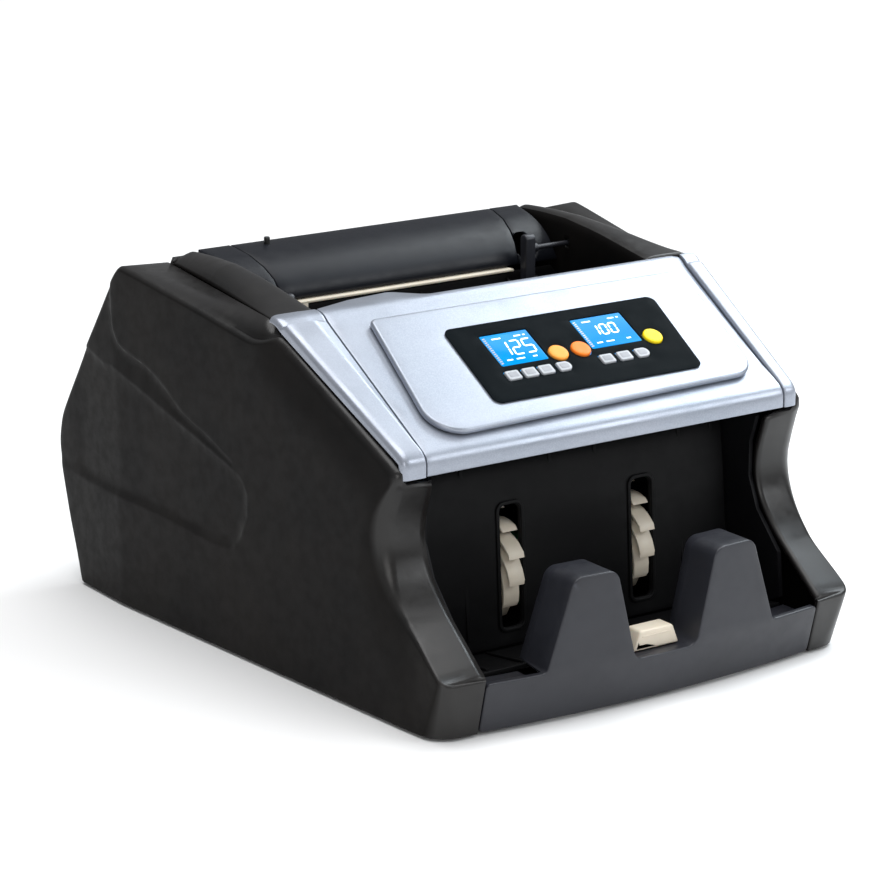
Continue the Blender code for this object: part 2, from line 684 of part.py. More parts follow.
def stacker_front_plate():
    """The bowed front of the pocket: two tapering fingers with deep sides, and a notch between them."""
    edge = FRONT_SEAM - 0.5
    half = [(edge, CASE_BOTTOM), (edge, 24.2), (60.0, 24.2), (47.2, FINGER_TOP), (25.8, FINGER_TOP),
            (19.8, 38), (16.0, 22)]
    radii = [0, 0, 2.5, 6, 6, 14, 5]
    outline = rounded(mirrored(half), radii + radii[::-1])
    plate = place("stacker_front_plate", bowed_slab("stacker_front_plate", 0, FINGER_DEPTH), "slate")
    shape = place_cutter("plate_outline", prism("plate_outline", outline, -180, -90))
    combine(plate, shape, "INTERSECT")
    inside = [(84.5, -8), (84.5, 16), (60.0, 16), (56.2, 25), (44.8, 60), (27.9, 60), (22.6, 38), (19.0, 19)]
    hollow = place_cutter("plate_hollow", bowed_slab("plate_hollow", PLATE_WALL, FINGER_DEPTH + 10))
    section = prism("hollow_outline", mirrored(inside), -175, -80)
    combine(hollow, place_cutter("hollow_outline", section), "INTERSECT")
    combine(plate, hollow)
    for name, low, high in (("left", -99, -62), ("right", 62, 99)):
        space = place_cutter(f"low_{name}", bowed_slab(f"low_{name}", PLATE_WALL, FINGER_DEPTH + 11))
        box = block(f"low_box_{name}", (low, -170, 19), (high, -85, 50))
        combine(space, place_cutter(f"low_box_{name}", box), "INTERSECT")
        combine(plate, space)
    return plate


def stack_sensor():
    outline = rounded([(-12, 22.4), (12, 22.4), (8.6, 31), (-8.6, 31)], [0.5, 0.5, 1.5, 1.5])
    return place("stack_sensor_block", prism("stack_sensor_block", outline, -140, -131), "cream")


def stacker_floor():
    rows = [[(-85, y, z), (85, y, z)] for y, z in ((-119.4, 20.0), (-113, 18.5), (-88, POCKET_FLOOR_Z))]
    return thicken(place("stacker_floor", surface("stacker_floor", rows), "charcoal"), 2.0, 1.0)


def stacker_back_plate():
    """The back of the pocket, slotted for the two stacker wheels."""
    profile = [(-86, 14.6), (-85, 30), (-83, 70), (-80, 92), (-74, 101)]
    rows = [[(-85, y, z), (85, y, z)] for y, z in profile]
    plate = thicken(place("stacker_back_plate", surface("stacker_back_plate", rows), "charcoal"), 2.0)
    half = WHEEL_WIDTH / 2 + 1.6
    slots = [((x - half, -95, 22), (x + half, -60, 77)) for x in (-WHEEL_X, WHEEL_X)]
    return cut_blocks(plate, "wheel_slot", slots)


def fin_outline():
    """The stacker wheel's outline: curved fins that trail round the hub."""
    hub, thick, twist = 9.0, 1.5, math.radians(62)
    steps = 5
    points = []
    for fin in range(FINS):
        root = 2 * math.pi * fin / FINS
        leading, trailing = [], []
        for step in range(steps + 1):
            share = step / steps
            radius = hub + (WHEEL_RADIUS - hub) * share
            angle = root + twist * share ** 1.3
            half = thick / 2 / radius
            leading.append((radius, angle - half * 1.6))
            trailing.append((radius, angle + half * 1.6))
        points += leading + trailing[::-1]
    return [(radius * math.cos(angle), radius * math.sin(angle)) for radius, angle in points]


def circle(radius, sides=24):
    return [(radius * math.cos(2 * math.pi * i / sides), radius * math.sin(2 * math.pi * i / sides))
            for i in range(sides)]


def stacker_wheels():
    for name, x in (("stacker_wheel_left", -WHEEL_X), ("stacker_wheel_right", WHEEL_X)):
        loops = [fin_outline(), circle(SHAFT_RADIUS + GAP)]
        flat_ring(name, loops, x - WHEEL_WIDTH / 2, x + WHEEL_WIDTH / 2, STACKER, "cream")


# ---------------------------------------------------------------- feed mechanism

def frame_plate(name, side):
    """A steel plate that carries the shafts on one side."""
    outline = [(-118, 22), (-116, 42), (-101, 58), (-95, 72), (-95, 88), (-99, 100), (-66, 117),
               (-36, 132), (-24, 132), (-22, 103), (42, 103), (47, 134), (74, 134), (100, 118),
               (122, 66), (118, 9), (-90, 9)]
    start, end = sorted((side * PLATE_INNER, side * PLATE_OUTER))
    plate = place(name, prism(name, outline, start, end, "X"), "steel")
    for shaft, (y, z), radius in (("drum", DRUM, SHAFT_RADIUS), ("pickup", PICKUP, SHAFT_RADIUS),
                                  ("retard", RETARD, 3.0), ("stacker", STACKER, SHAFT_RADIUS),
                                  ("motor", MOTOR, 3.0)):
        if shaft == "motor" and side > 0:
            continue
        hole = cylinder(f"{name}_{shaft}", radius + GAP, start - 2, end + 2)
        combine(plate, place_cutter(f"{name}_{shaft}", hole, at=(0, y, z)))
    return plate


def tie_rod():
    end = PLATE_INNER - GAP
    place("tie_rod", cylinder("tie_rod", 3.5, -end, end, sides=20), "steel", at=(0, -58, 104))


def rollers():
    shaft, left, right = SHAFT_RADIUS, -107.0, 99.0
    drum = [(left, -101, 10), (-101, -99, shaft), (-99, -92, 14), (-92, -46, shaft),
            (-46, -19, DRUM_RADIUS), (-19, 19, shaft), (19, 46, DRUM_RADIUS), (46, 92, shaft),
            (92, right, 12)]
    turned("feed_drum", drum, DRUM, "rubber", steps=32)
    pickup = [(left, -101, 10), (-101, -46, shaft), (-46, -19, 12), (-19, 19, shaft), (19, 46, 12),
              (46, 90, shaft)]
    turned("pickup_roller", pickup, PICKUP, "rubber")
    retard = [(-90, -46, 3), (-46, -19, 8.8), (-19, 19, 3), (19, 46, 8.8), (46, 90, 3)]
    turned("retard_roller", retard, RETARD, "rubber")
    stacker = [(-90, 92, shaft), (92, right, 12)]
    turned("stacker_shaft", stacker, STACKER, "steel")


def motor():
    can = [(-84, -78, 8), (-78, -20, 18), (-20, -14, 8)]
    turned("main_motor", can, MOTOR, "steel", steps=28)
    turned("motor_pulley", [(-99, -92, 8), (-92, -84.4, 2.5)], MOTOR, "steel")


def belt_loop(first, second, grow):
    """The outline of a belt round two pulleys, given as (y, z, radius)."""
    a, b = Vector(first[:2]), Vector(second[:2])
    reach = b - a
    heading = math.atan2(reach.y, reach.x)
    spread = math.acos((first[2] - second[2]) / reach.length)
    points = []
    for centre, radius, start, sweep in (
        (a, first[2] + grow, heading + spread, 2 * math.pi - 2 * spread),
        (b, second[2] + grow, heading - spread, 2 * spread),
    ):
        steps = 10
        for step in range(steps + 1):
            angle = start + sweep * step / steps
            points.append((centre.x + radius * math.cos(angle), centre.y + radius * math.sin(angle)))
    return points


def belts():
    for name, first, second, start, end in (
        ("drive_belt", (*MOTOR, 8.0), (*DRUM, 14.0), -98.0, -93.0),
        ("pickup_belt", (*DRUM, 10.0), (*PICKUP, 10.0), -106.0, -102.0),
        ("stacker_belt", (*STACKER, 12.0), (*DRUM, 12.0), 93.0, 98.0),
    ):
        loops = [belt_loop(first, second, 0.5 + 1.5), belt_loop(first, second, 0.5)]
        flat_ring(name, loops, start, end, (0, 0), "rubber")


def note_chute():
    """The curved guide that carries each note from the drum to the stacker wheels."""
    profile = [(14, 63), (0, 65.5), (-12, 71), (-20, 79), (-27, 84), (-36, 85)]
    rows = [[(-80, y, z), (80, y, z)] for y, z in profile]
    return thicken(place("note_chute", surface("note_chute", rows), "charcoal"), 1.5)


# ---------------------------------------------------------------- electrics

INLET_BODY = ((24.0, -12.0), (52.0, 12.0))
SWITCH_BODY = ((62.0, -7.0), (82.0, 7.0))


def mains_inlet():
    """The three-pin mains socket in its rectangular frame."""
    (u0, w0), (u1, w1) = INLET_BODY
    inlet = place("mains_inlet", block("mains_inlet", (u0, -18, w0), (u1, 0.4, w1)), "black", REAR_FRAME)
    flange = block("inlet_flange", (u0 - 2, 0.3, w0 - 2), (u1 + 2, 2.3, w1 + 2))
    combine(inlet, place_cutter("inlet_flange", flange, REAR_FRAME), "UNION")
    socket = rounded([(u0 + 4, w0 + 5), (u1 - 4, w0 + 5), (u1 - 4, w1 - 8), (u1 - 8, w1 - 4),
                      (u0 + 8, w1 - 4), (u0 + 4, w1 - 8)], 0.8, steps=2)
    combine(inlet, place_cutter("inlet_socket", prism("inlet_socket", socket, -13, 5), REAR_FRAME))
    middle = (u0 + u1) / 2
    for number, (u, w) in enumerate(((middle - 5, -2), (middle, 2), (middle + 5, -2))):
        pin = block(f"pin_{number}", (u - 1, -14, w - 2), (u + 1, -2, w + 2))
        combine(inlet, place_cutter(f"inlet_pin_{number}", pin, REAR_FRAME), "UNION")


def power_switch():
    (u0, w0), (u1, w1) = SWITCH_BODY
    frame = place("switch_frame", block("switch_frame", (u0, -14, w0), (u1, 0.4, w1)), "black", REAR_FRAME)
    flange = block("switch_flange", (u0 - 1.5, 0.3, w0 - 1.5), (u1 + 1.5, 1.8, w1 + 1.5))
    combine(frame, place_cutter("switch_flange", flange, REAR_FRAME), "UNION")
    cut_blocks(frame, "switch_well", [((u0 + 2, -8, w0 + 1.5), (u1 - 2, 5, w1 - 1.5))], REAR_FRAME)
    half, middle = (u1 - u0) / 2 - 2.6, (u0 + u1) / 2
    outline = [(-half, 1.0), (0, 0.2), (half, 2.6), (half - 1.0, -2.4), (1.5, -4.4), (-1.5, -4.4),
               (-half + 1.0, -3.6)]
    rocker = prism("power_rocker", outline, w0 + 2.0, w1 - 2.0, "Z")
    place("power_rocker", rocker, "black", REAR_FRAME, at=(middle, 0, 0))


def boards():
    board = place("main_board", block("main_board", (-60, -30, 9.0), (70, 60, 10.6)), "board")
    chips = (((-40, -10, 10), (-10, 15, 13)), ((20, 20, 10), (34, 34, 14)),
             ((-55, 40, 10), (-15, 48, 17)), ((40, -20, 10), (62, 0, 19)))
    for number, (low, high) in enumerate(chips):
        label = f"board_part_{number}"
        combine(board, place_cutter(label, block(label, low, high)), "UNION")
    core = place("transformer", block("transformer", (14, 66, 8), (66, 100, 50)), "copper")
    coil = block("coil", (22, 60, 16), (58, 106, 42))
    combine(core, place_cutter("coil", coil), "UNION")


# ---------------------------------------------------------------- assembly

PANEL_FRAME = empty("panel_frame", (0, PANEL_Y, PANEL_Z), (PANEL_ANGLE, 0, 0))
REAR_LEAN = math.atan2(144 - 132, 53 - 12)
REAR_FRAME = empty("rear_frame", (0, 138, 30), (-REAR_LEAN, 0, 0))

side_shell("left_side_shell", -1)
side_shell("right_side_shell", 1)
rear_cover()
base_tray()
feet()
hopper_cheek("left_hopper_cheek", -1)
hopper_cheek("right_hopper_cheek", 1)
hopper_back_cover()
hopper_corner("hopper_corner_left", -1)
hopper_corner("hopper_corner_right", 1)
light_plate()
hopper_floor()
hopper_front_wall()
note_guides()
control_panel()
panel_strips()
fascia()
display_label()
screens()
buttons()
display_board()
stacker_front_plate()
stack_sensor()
stacker_floor()
stacker_back_plate()
stacker_wheels()
frame_plate("frame_plate_left", -1)
frame_plate("frame_plate_right", 1)
tie_rod()
rollers()
motor()
belts()
note_chute()
mains_inlet()
power_switch()
boards()
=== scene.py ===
"""Looks of the banknote counting machine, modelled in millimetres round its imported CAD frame.

X runs to the user's right, Y to the back and Z up. MM turns millimetres into the frame's metres.
Flat pieces are drawn in a plane of their own and carried over to the machine by a placing function.
"""

import math

import bmesh
import bpy
import numpy as np
from mathutils import Matrix, Vector, geometry


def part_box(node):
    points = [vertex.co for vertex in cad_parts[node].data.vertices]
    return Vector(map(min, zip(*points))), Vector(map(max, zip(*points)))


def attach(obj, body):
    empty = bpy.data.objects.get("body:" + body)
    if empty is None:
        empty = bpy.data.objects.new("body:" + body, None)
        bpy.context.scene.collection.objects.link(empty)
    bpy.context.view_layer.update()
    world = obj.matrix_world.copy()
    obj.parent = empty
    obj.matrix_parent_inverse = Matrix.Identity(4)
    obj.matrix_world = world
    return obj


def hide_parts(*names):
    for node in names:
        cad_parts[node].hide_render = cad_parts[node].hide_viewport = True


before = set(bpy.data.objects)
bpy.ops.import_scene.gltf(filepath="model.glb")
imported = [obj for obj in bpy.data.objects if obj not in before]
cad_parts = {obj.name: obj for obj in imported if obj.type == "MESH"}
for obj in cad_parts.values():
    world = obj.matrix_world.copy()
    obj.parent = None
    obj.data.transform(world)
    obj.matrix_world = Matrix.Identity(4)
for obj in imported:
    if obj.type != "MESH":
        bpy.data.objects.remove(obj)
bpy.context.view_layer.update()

MM = 0.001
GAP = 0.3

# Casing, as the CAD model has it
SIDE_FRONT = (107.7, -139.0)
SIDE_REAR = (127.0, 92.0)
CASE_BOTTOM = 1.5
WALL = 2.5
SEAM_LAND = 3.0
REAR_SEAM = 100.0
FRONT_SEAM = 88.0
LEDGE_FRONT = Vector((113.0, -28.0, 154.0))
LEDGE_REAR = Vector((100.0, 91.0, 158.0))
REAR_PROFILE = [(91, 158), (98, 149), (118, 118), (136, 90), (144, 79), (147, 66),
                (144, 53), (138, 30), (132, 12), (129, CASE_BOTTOM)]
REAR_RIM = [(91, 159), (99, 149.5), (121, 118), (138.5, 92), (147.5, 79), (151, 66),
            (149, 53), (142.5, 30), (136, 12), (133, CASE_BOTTOM)]  # a side shell's own rear edge, proud of the cover
REAR_ROUND = 4.0

# The nose of a side shell: the side face turns round its corner and runs on across the front to the seam
NOSE_START = -112.0
NOSE_WRAP = 44.4
NOSE_END = NOSE_START - NOSE_WRAP
NOSE_TOP = 26.3
NOSE_ROUND = (14.0, 5.0)  # corner radius seen from above, at the foot and at the top
NOSE_FOOT_LINE = ((107.7, -134.5), (88.0, -135.5))  # (x, y) of the corner and of the seam
NOSE_TOP_LINE = ((108.2, -138.9), (88.0, -141.6))
NOSE_EDGE = 1.7

# Control panel
PANEL_Y, PANEL_Z = -104.5, 112.0
PANEL_ANGLE = math.radians(27.8)
PANEL_LENGTH = 92.8
LIP_BOTTOM = 103.4
STRIP_OUTER = (104.3, 112.9)
STRIP_REST = 3.0
SEAM_LEFT = (-91.9, -89.6)
SEAM_RIGHT = (96.0, 103.0)
LABEL_REST = 4.0

# Note pocket
BOW = 6.0
STACKER_FOOT_Y = -135.0
FINGER_TOP = 63.0
FINGER_DEPTH = 20.0

# Shafts, as (y, z)
DRUM = (18.0, 87.5)
PICKUP = (57.5, 122.0)
RETARD = (-10.8, 93.5)
STACKER = (-62.0, 48.0)


# ---------------------------------------------------------------- points and lines

def refined(rows, step, soft, closed=False):
    """Rows of matching points, resampled about every step and rounded off over about soft along each row."""
    rows = np.array(rows, float)
    count = rows.shape[1]
    ahead = np.roll(rows, -1, axis=1)
    spans = count if closed else count - 1
    lengths = np.linalg.norm((ahead - rows)[:, :spans], axis=2).mean(axis=0)
    pieces = np.maximum(1, np.round(lengths / step)).astype(int)
    places = np.concatenate([i + np.arange(n) / n for i, n in enumerate(pieces)])
    if not closed:
        places = np.append(places, count - 1)
    base = places.astype(int)
    share = (places - base)[None, :, None]
    sampled = rows[:, base] * (1 - share) + rows[:, (base + 1) % count] * share
    travel = np.interp(places, np.arange(spans + 1), np.concatenate([[0], np.cumsum(lengths)]))
    total = lengths.sum()
    apart = np.abs(travel[:, None] - travel[None, :])
    softness = np.broadcast_to(np.array(soft, float), (count,))
    softness = np.interp(places, np.arange(count + 1), np.append(softness, softness[0]))
    if closed:
        apart = np.minimum(apart, total - apart)
    else:
        softness = np.minimum(softness, np.minimum(travel, total - travel) / 2)
    softness = np.maximum(softness, 1e-4)
    weights = np.exp(-0.5 * (apart / softness[:, None]) ** 2)
    weights *= np.gradient(travel)[None, :] if not closed else 1.0
    weights /= weights.sum(axis=1, keepdims=True)
    return np.einsum("ij,rjk->rik", weights, sampled)


def lofted(rows, step, soft_along, soft_across, step_across=None):
    """A surface's rows, made finer and softer both along and across them."""
    finer = refined(rows, step, soft_along)
    return refined(finer.transpose(1, 0, 2), step_across or step, soft_across).transpose(1, 0, 2)


def flowing(points, step=1.5, soft=2.0, closed=False):
    return [tuple(point) for point in refined([points], step, soft, closed)[0]]


def rounded(outline, radius, steps=6):
    """The outline with each corner replaced by an arc; radius may be one number or one for each corner."""
    count = len(outline)
    radii = [radius] * count if isinstance(radius, (int, float)) else radius
    points = []
    for i, corner in enumerate(outline):
        here = Vector(corner)
        back = (Vector(outline[i - 1]) - here).normalized()
        ahead = (Vector(outline[(i + 1) % count]) - here).normalized()
        half = back.angle(ahead) / 2
        if radii[i] <= 0 or half > math.radians(88):
            points.append(tuple(here))
            continue
        reach = radii[i] / math.tan(half)
        centre = here + (back + ahead).normalized() * (radii[i] / math.sin(half))
        start = here + back * reach - centre
        turn = start.angle_signed(here + ahead * reach - centre)
        for step in range(steps + 1):
            points.append(tuple(centre + Matrix.Rotation(-turn * step / steps, 2) @ start))
    return points


def rectangle(low, high, radius=0.0, steps=4):
    corners = [(low[0], low[1]), (high[0], low[1]), (high[0], high[1]), (low[0], high[1])]
    return rounded(corners, radius, steps) if radius else corners


def circle(centre, radius, sides=48):
    turns = [2 * math.pi * i / sides for i in range(sides)]
    return [(centre[0] + radius * math.cos(turn), centre[1] + radius * math.sin(turn)) for turn in turns]


def area(loop):
    x, y = np.array(loop, float).T
    return 0.5 * float(np.sum(x * np.roll(y, -1) - np.roll(x, -1) * y))


def grown_in(loop, distance):
    """The loop moved to its left by a distance, so a counterclockwise one shrinks and a clockwise one grows."""
    here = np.array(loop, float)
    ahead = np.roll(here, -1, axis=0) - here
    ahead /= np.linalg.norm(ahead, axis=1, keepdims=True)
    back = np.roll(ahead, 1, axis=0)
    middle = ahead + back
    middle /= np.maximum(np.linalg.norm(middle, axis=1, keepdims=True), 1e-6)
    left = np.stack([-middle[:, 1], middle[:, 0]], axis=1)
    stretch = 1 / np.maximum((middle * ahead).sum(axis=1, keepdims=True), 0.6)
    return here + left * stretch * np.array(distance, float).reshape(-1, 1)


def inside(loop, points):
    """Which (a, b) points are inside a closed loop."""
    points = np.atleast_2d(points)
    a, b = np.array(loop, float), np.roll(np.array(loop, float), -1, axis=0)
    y = points[:, 1:2]
    crosses = (a[:, 1] > y) != (b[:, 1] > y)
    rise = np.where(b[:, 1] == a[:, 1], 1e-9, b[:, 1] - a[:, 1])
    at = a[:, 0] + (y - a[:, 1]) * (b[:, 0] - a[:, 0]) / rise
    return (crosses & (points[:, 0:1] < at)).sum(axis=1) % 2 == 1


def distance(line, points, values=None):
    """Distance of each point to an open line, and the line's own value at the nearest place."""
    line = np.array(line, float)
    a, run = line[:-1], line[1:] - line[:-1]
    away = np.atleast_2d(points)[:, None] - a[None]
    share = np.clip((away * run).sum(axis=2) / (run * run).sum(axis=1), 0, 1)
    apart = np.linalg.norm(away - share[..., None] * run, axis=2)
    nearest = apart.argmin(axis=1)
    row = np.arange(len(apart))
    if values is None:
        return apart[row, nearest]
    values = np.array(values, float)
    along = share[row, nearest]
    return apart[row, nearest], values[nearest] * (1 - along) + values[nearest + 1] * along


def eased(share):
    share = np.clip(share, 0, 1)
    return share * share * (3 - 2 * share)


def between(pair, share):
    return pair[0] + (pair[1] - pair[0]) * share


# ---------------------------------------------------------------- meshes

def grid_points(loops, spacing):
    """Staggered points inside the first loop and outside the rest, clear of all of them."""
    outer = np.array(loops[0])
    low, high = outer.min(axis=0), outer.max(axis=0)
    rows = np.arange(low[1] + spacing / 2, high[1], spacing * 0.87)
    points = np.array([(x + (i % 2) * spacing / 2, y) for i, y in enumerate(rows)
                       for x in np.arange(low[0], high[0] + spacing, spacing)])
    if not len(points):
        return points
    keep = inside(loops[0], points)
    for loop in loops[1:]:
        keep &= ~inside(loop, points)
    for loop in loops:
        keep &= distance(list(loop) + [loop[0]], points) > spacing * 0.45
    return points[keep]


def filled(loops, spacing=None, lines=()):
    """Triangles over the first loop less the others: all points, with the loops' points first, and faces."""
    points, edges = [], []
    for loop in loops:
        first = len(points)
        points += [tuple(p) for p in loop]
        edges += [(first + i, first + (i + 1) % len(loop)) for i in range(len(loop))]
    for line in lines:
        first = len(points)
        points += [tuple(p) for p in line]
        edges += [(first + i, first + i + 1) for i in range(len(line) - 1)]
    if spacing:
        free = grid_points(loops, spacing)
        for line in lines:
            free = free[distance(line, free) > spacing * 0.4]
        points += [tuple(p) for p in free]
    vectors = [Vector(p) for p in points]
    made, _, faces, origins, _, _ = geometry.delaunay_2d_cdt(vectors, edges, [], 1, 1e-7)
    centres = np.array([sum((made[i] for i in face), Vector((0, 0))) / 3 for face in faces])
    keep = inside(loops[0], centres)
    for loop in loops[1:]:
        keep &= ~inside(loop, centres)
    kept = [face for face, good in zip(faces, keep) if good]
    # put the loops' own points first again, in their own order
    number, order = {}, [None] * sum(len(loop) for loop in loops)
    for i, sources in enumerate(origins):
        for source in sources:
            if source < len(order):
                order[source] = i
    rest = [i for i in range(len(made)) if i not in set(order)]
    for new, old in enumerate(order + rest):
        number.setdefault(old, new)
    points = [tuple(made[i]) for i in order + rest]
    return points, [tuple(number[i] for i in face) for face in kept]


def mesh_from(name, points, faces, sharp=35, outward=None):
    """A smooth mesh in metres from points in millimetres. outward is the way an open one mostly faces."""
    bm = bmesh.new()
    verts = [bm.verts.new(Vector(point) * MM) for point in points]
    for face in faces:
        if len(set(face)) == len(face):
            try:
                bm.faces.new([verts[i] for i in face])
            except ValueError:
                continue
    bmesh.ops.delete(bm, geom=[v for v in bm.verts if not v.link_faces], context="VERTS")
    bmesh.ops.recalc_face_normals(bm, faces=bm.faces)
    if outward:
        bm.normal_update()
        if sum(face.normal.dot(Vector(outward)) * face.calc_area() for face in bm.faces) < 0:
            bmesh.ops.reverse_faces(bm, faces=bm.faces)
    mesh = bpy.data.meshes.new(name)
    bm.to_mesh(mesh)
    bm.free()
    mesh.shade_smooth()
    mesh.set_sharp_from_angle(angle=math.radians(sharp))
    return mesh


def grid_mesh(name, rows, closed=False, sharp=35, outward=None):
    """A surface through rows of points. Closed rows make a tube, which gets a cap at each end."""
    rows = np.array(rows, float)
    count, across = rows.shape[:2]
    faces = []
    for r in range(count - 1):
        for i in range(across if closed else across - 1):
            j = (i + 1) % across
            faces.append((r * across + i, (r + 1) * across + i, (r + 1) * across + j, r * across + j))
    if closed:
        faces += [tuple(range(across)), tuple(range((count - 1) * across, count * across))]
    return mesh_from(name, rows.reshape(-1, 3), faces, sharp, outward)


def slab(loops, low, high, edge=0.4, place=None, spacing=None, steps=3, name="slab", sharp=35, lines=()):
    """A flat piece between two heights with rounded rims. The first loop is its outline, the rest are holes."""
    loops = [loop if (area(loop) > 0) == (i == 0) else loop[::-1] for i, loop in enumerate(loops)]
    levels = []
    if edge:
        turns = [math.pi / 2 * step / steps for step in range(steps + 1)]
        levels += [(edge * (1 - math.sin(t)), high - edge * (1 - math.cos(t))) for t in turns]
        levels += [(edge * (1 - math.sin(t)), low + edge * (1 - math.cos(t))) for t in reversed(turns)]
    else:
        levels = [(0.0, high), (0.0, low)]
    rings = [[grown_in(loop, shrink) for loop in loops] for shrink, _ in levels]
    top, faces = filled(rings[0], spacing, lines)
    size = len(top)
    points = [(x, y, high) for x, y in top] + [(x, y, low) for x, y in top]
    faces = list(faces) + [tuple(size + i for i in face[::-1]) for face in faces]
    starts = [0]
    for (_, height), ring in list(zip(levels, rings))[1:-1]:
        starts.append(len(points))
        points += [(x, y, height) for loop in ring for x, y in loop]
    starts.append(size)
    for upper, lower in zip(starts, starts[1:]):
        first = 0
        for loop in loops:
            for i in range(len(loop)):
                a, b = first + i, first + (i + 1) % len(loop)
                faces.append((upper + a, lower + a, lower + b, upper + b))
            first += len(loop)
    if place:
        points = [place(*point) for point in points]
    return mesh_from(name, points, faces, sharp)


def turned(profile, centre, steps=72, name="turned", soft=0.25):
    """A piece turned round the X direction through (y, z) centre, from (x, radius) points left to right."""
    line = flowing(profile, 0.6, soft)
    points, faces = [], []
    for x, radius in line:
        for step in range(steps):
            turn = 2 * math.pi * step / steps
            points.append((x, centre[0] + radius * math.cos(turn), centre[1] + radius * math.sin(turn)))
    for r in range(len(line) - 1):
        for i in range(steps):
            j = (i + 1) % steps
            faces.append((r * steps + i, (r + 1) * steps + i, (r + 1) * steps + j, r * steps + j))
    faces.append(tuple(range(steps)))
    faces.append(tuple(range(len(points) - steps, len(points))))
    return mesh_from(name, points, faces, 30)


class Bend:
    """Carries a flat piece over a bent (y, z) profile: across stays X, along follows the profile."""

    def __init__(self, profile, step=1.0, soft=2.0):
        self.line = np.array(flowing(profile, step, soft))
        runs = np.linalg.norm(np.diff(self.line, axis=0), axis=1)
        self.travel = np.concatenate([[0], np.cumsum(runs)])
        self.length = self.travel[-1]

    def along(self, y, z):
        """How far along the profile the point nearest to (y, z) is."""
        return float(self.travel[np.linalg.norm(self.line - (y, z), axis=1).argmin()])

    def __call__(self, x, along, height):
        at = [float(np.interp(along, self.travel, self.line[:, k])) for k in (0, 1)]
        before = [float(np.interp(along - 1.5, self.travel, self.line[:, k])) for k in (0, 1)]
        after = [float(np.interp(along + 1.5, self.travel, self.line[:, k])) for k in (0, 1)]
        run = Vector((after[0] - before[0], after[1] - before[1])).normalized()
        return (x, at[0] - run.y * height, at[1] + run.x * height)


PANEL = Matrix.Translation((0, PANEL_Y, PANEL_Z)) @ Matrix.Rotation(PANEL_ANGLE, 4, "X")


def on_panel(u, v, w=0.0):
    """The point u across, v up the slope and w out of the panel's plane."""
    return tuple(PANEL @ Vector((u, v, w)))


def panel_box(node):
    """A node's lowest and highest corner in the panel's own directions."""
    back = PANEL.inverted()
    points = np.array([back @ (vert.co / MM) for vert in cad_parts[node].data.vertices])
    return points.min(axis=0), points.max(axis=0)


def box(node):
    return tuple(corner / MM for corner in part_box(node))


# ---------------------------------------------------------------- objects and modifiers

def show(name, mesh, finish, stands_for=(), body="body"):
    obj = bpy.data.objects.new(name, mesh)
    bpy.context.scene.collection.objects.link(obj)
    material, slot = FINISHES[finish]
    mesh.materials.clear()
    mesh.materials.append(material)
    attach(obj, body)
    if stands_for:
        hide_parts(*([stands_for] if isinstance(stands_for, str) else stands_for))
    return obj


def walled(obj, thickness, offset=-1.0, even=True):
    """Gives an open surface its wall; offset -1 grows against its normals and 1 along them."""
    wall = obj.modifiers.new("wall", "SOLIDIFY")
    wall.thickness = thickness * MM
    wall.offset = offset
    wall.use_even_offset = even
    return obj


def bevelled(obj, width, segments=2, angle=40):
    edges = obj.modifiers.new("edges", "BEVEL")
    edges.width = width * MM
    edges.segments = segments
    edges.limit_method = "ANGLE"
    edges.angle_limit = math.radians(angle)
    edges.harden_normals = True
    return obj


def cut(obj, *cutters):
    """Takes closed meshes out of a piece and keeps the outcome as its own mesh."""
    tools = []
    for mesh in cutters:
        tool = bpy.data.objects.new("tool", mesh)
        bpy.context.scene.collection.objects.link(tool)
        opening = obj.modifiers.new("opening", "BOOLEAN")
        opening.operation = "DIFFERENCE"
        opening.solver = "EXACT"
        opening.object = tool
        tools.append(tool)
    bpy.context.view_layer.update()
    made = bpy.data.meshes.new_from_object(obj.evaluated_get(bpy.context.evaluated_depsgraph_get()))
    obj.modifiers.clear()
    obj.data = made
    for tool in tools:
        bpy.data.objects.remove(tool)
    return obj


def joined(name, meshes):
    """One mesh from several."""
    bm = bmesh.new()
    for mesh in meshes:
        bm.from_mesh(mesh)
    made = bpy.data.meshes.new(name)
    bm.to_mesh(made)
    bm.free()
    made.shade_smooth()
    made.set_sharp_from_angle(angle=math.radians(35))
    return made


def block(low, high, edge=0.3, place=None):
    return slab([rectangle(low[:2], high[:2])], low[2], high[2], edge, place, steps=2)


# ---------------------------------------------------------------- materials

def new_material(name, colour, roughness, **sockets):
    material = bpy.data.materials.new(name)
    material.use_nodes = True
    shader = material.node_tree.nodes["Principled BSDF"]
    shader.inputs["Base Color"].default_value = (*colour, 1.0)
    shader.inputs["Roughness"].default_value = roughness
    for socket, value in sockets.items():
        shader.inputs[socket.replace("_", " ")].default_value = value
    return material, material.node_tree, shader


def add(tree, kind, settings=None, **inputs):
    """A new node; an input may be a value or another node's output, and n0 is the input numbered 0."""
    node = tree.nodes.new("ShaderNode" + kind)
    for name, value in (settings or {}).items():
        setattr(node, name, value)
    for name, value in inputs.items():
        socket = node.inputs[int(name[1:])] if name[1:].isdigit() else node.inputs[name.replace("_", " ")]
        if isinstance(value, bpy.types.NodeSocket):
            tree.links.new(value, socket)
        else:
            socket.default_value = value
    return node


def speckle(tree, size, detail=2.0, rough=0.5, stretch=(1, 1, 1), kind="Object"):
    """Noise with features of about this size in millimetres."""
    place = add(tree, "TexCoord").outputs[kind]
    if stretch != (1, 1, 1):
        place = add(tree, "Mapping", Vector=place, Scale=stretch).outputs["Vector"]
    return add(tree, "TexNoise", Vector=place, Scale=1000.0 / size, Detail=detail, Roughness=rough).outputs["Fac"]


def ranged(tree, value, low, high, start=0.35, end=0.65):
    return add(tree, "MapRange", Value=value, From_Min=start, From_Max=end, To_Min=low, To_Max=high).outputs[0]


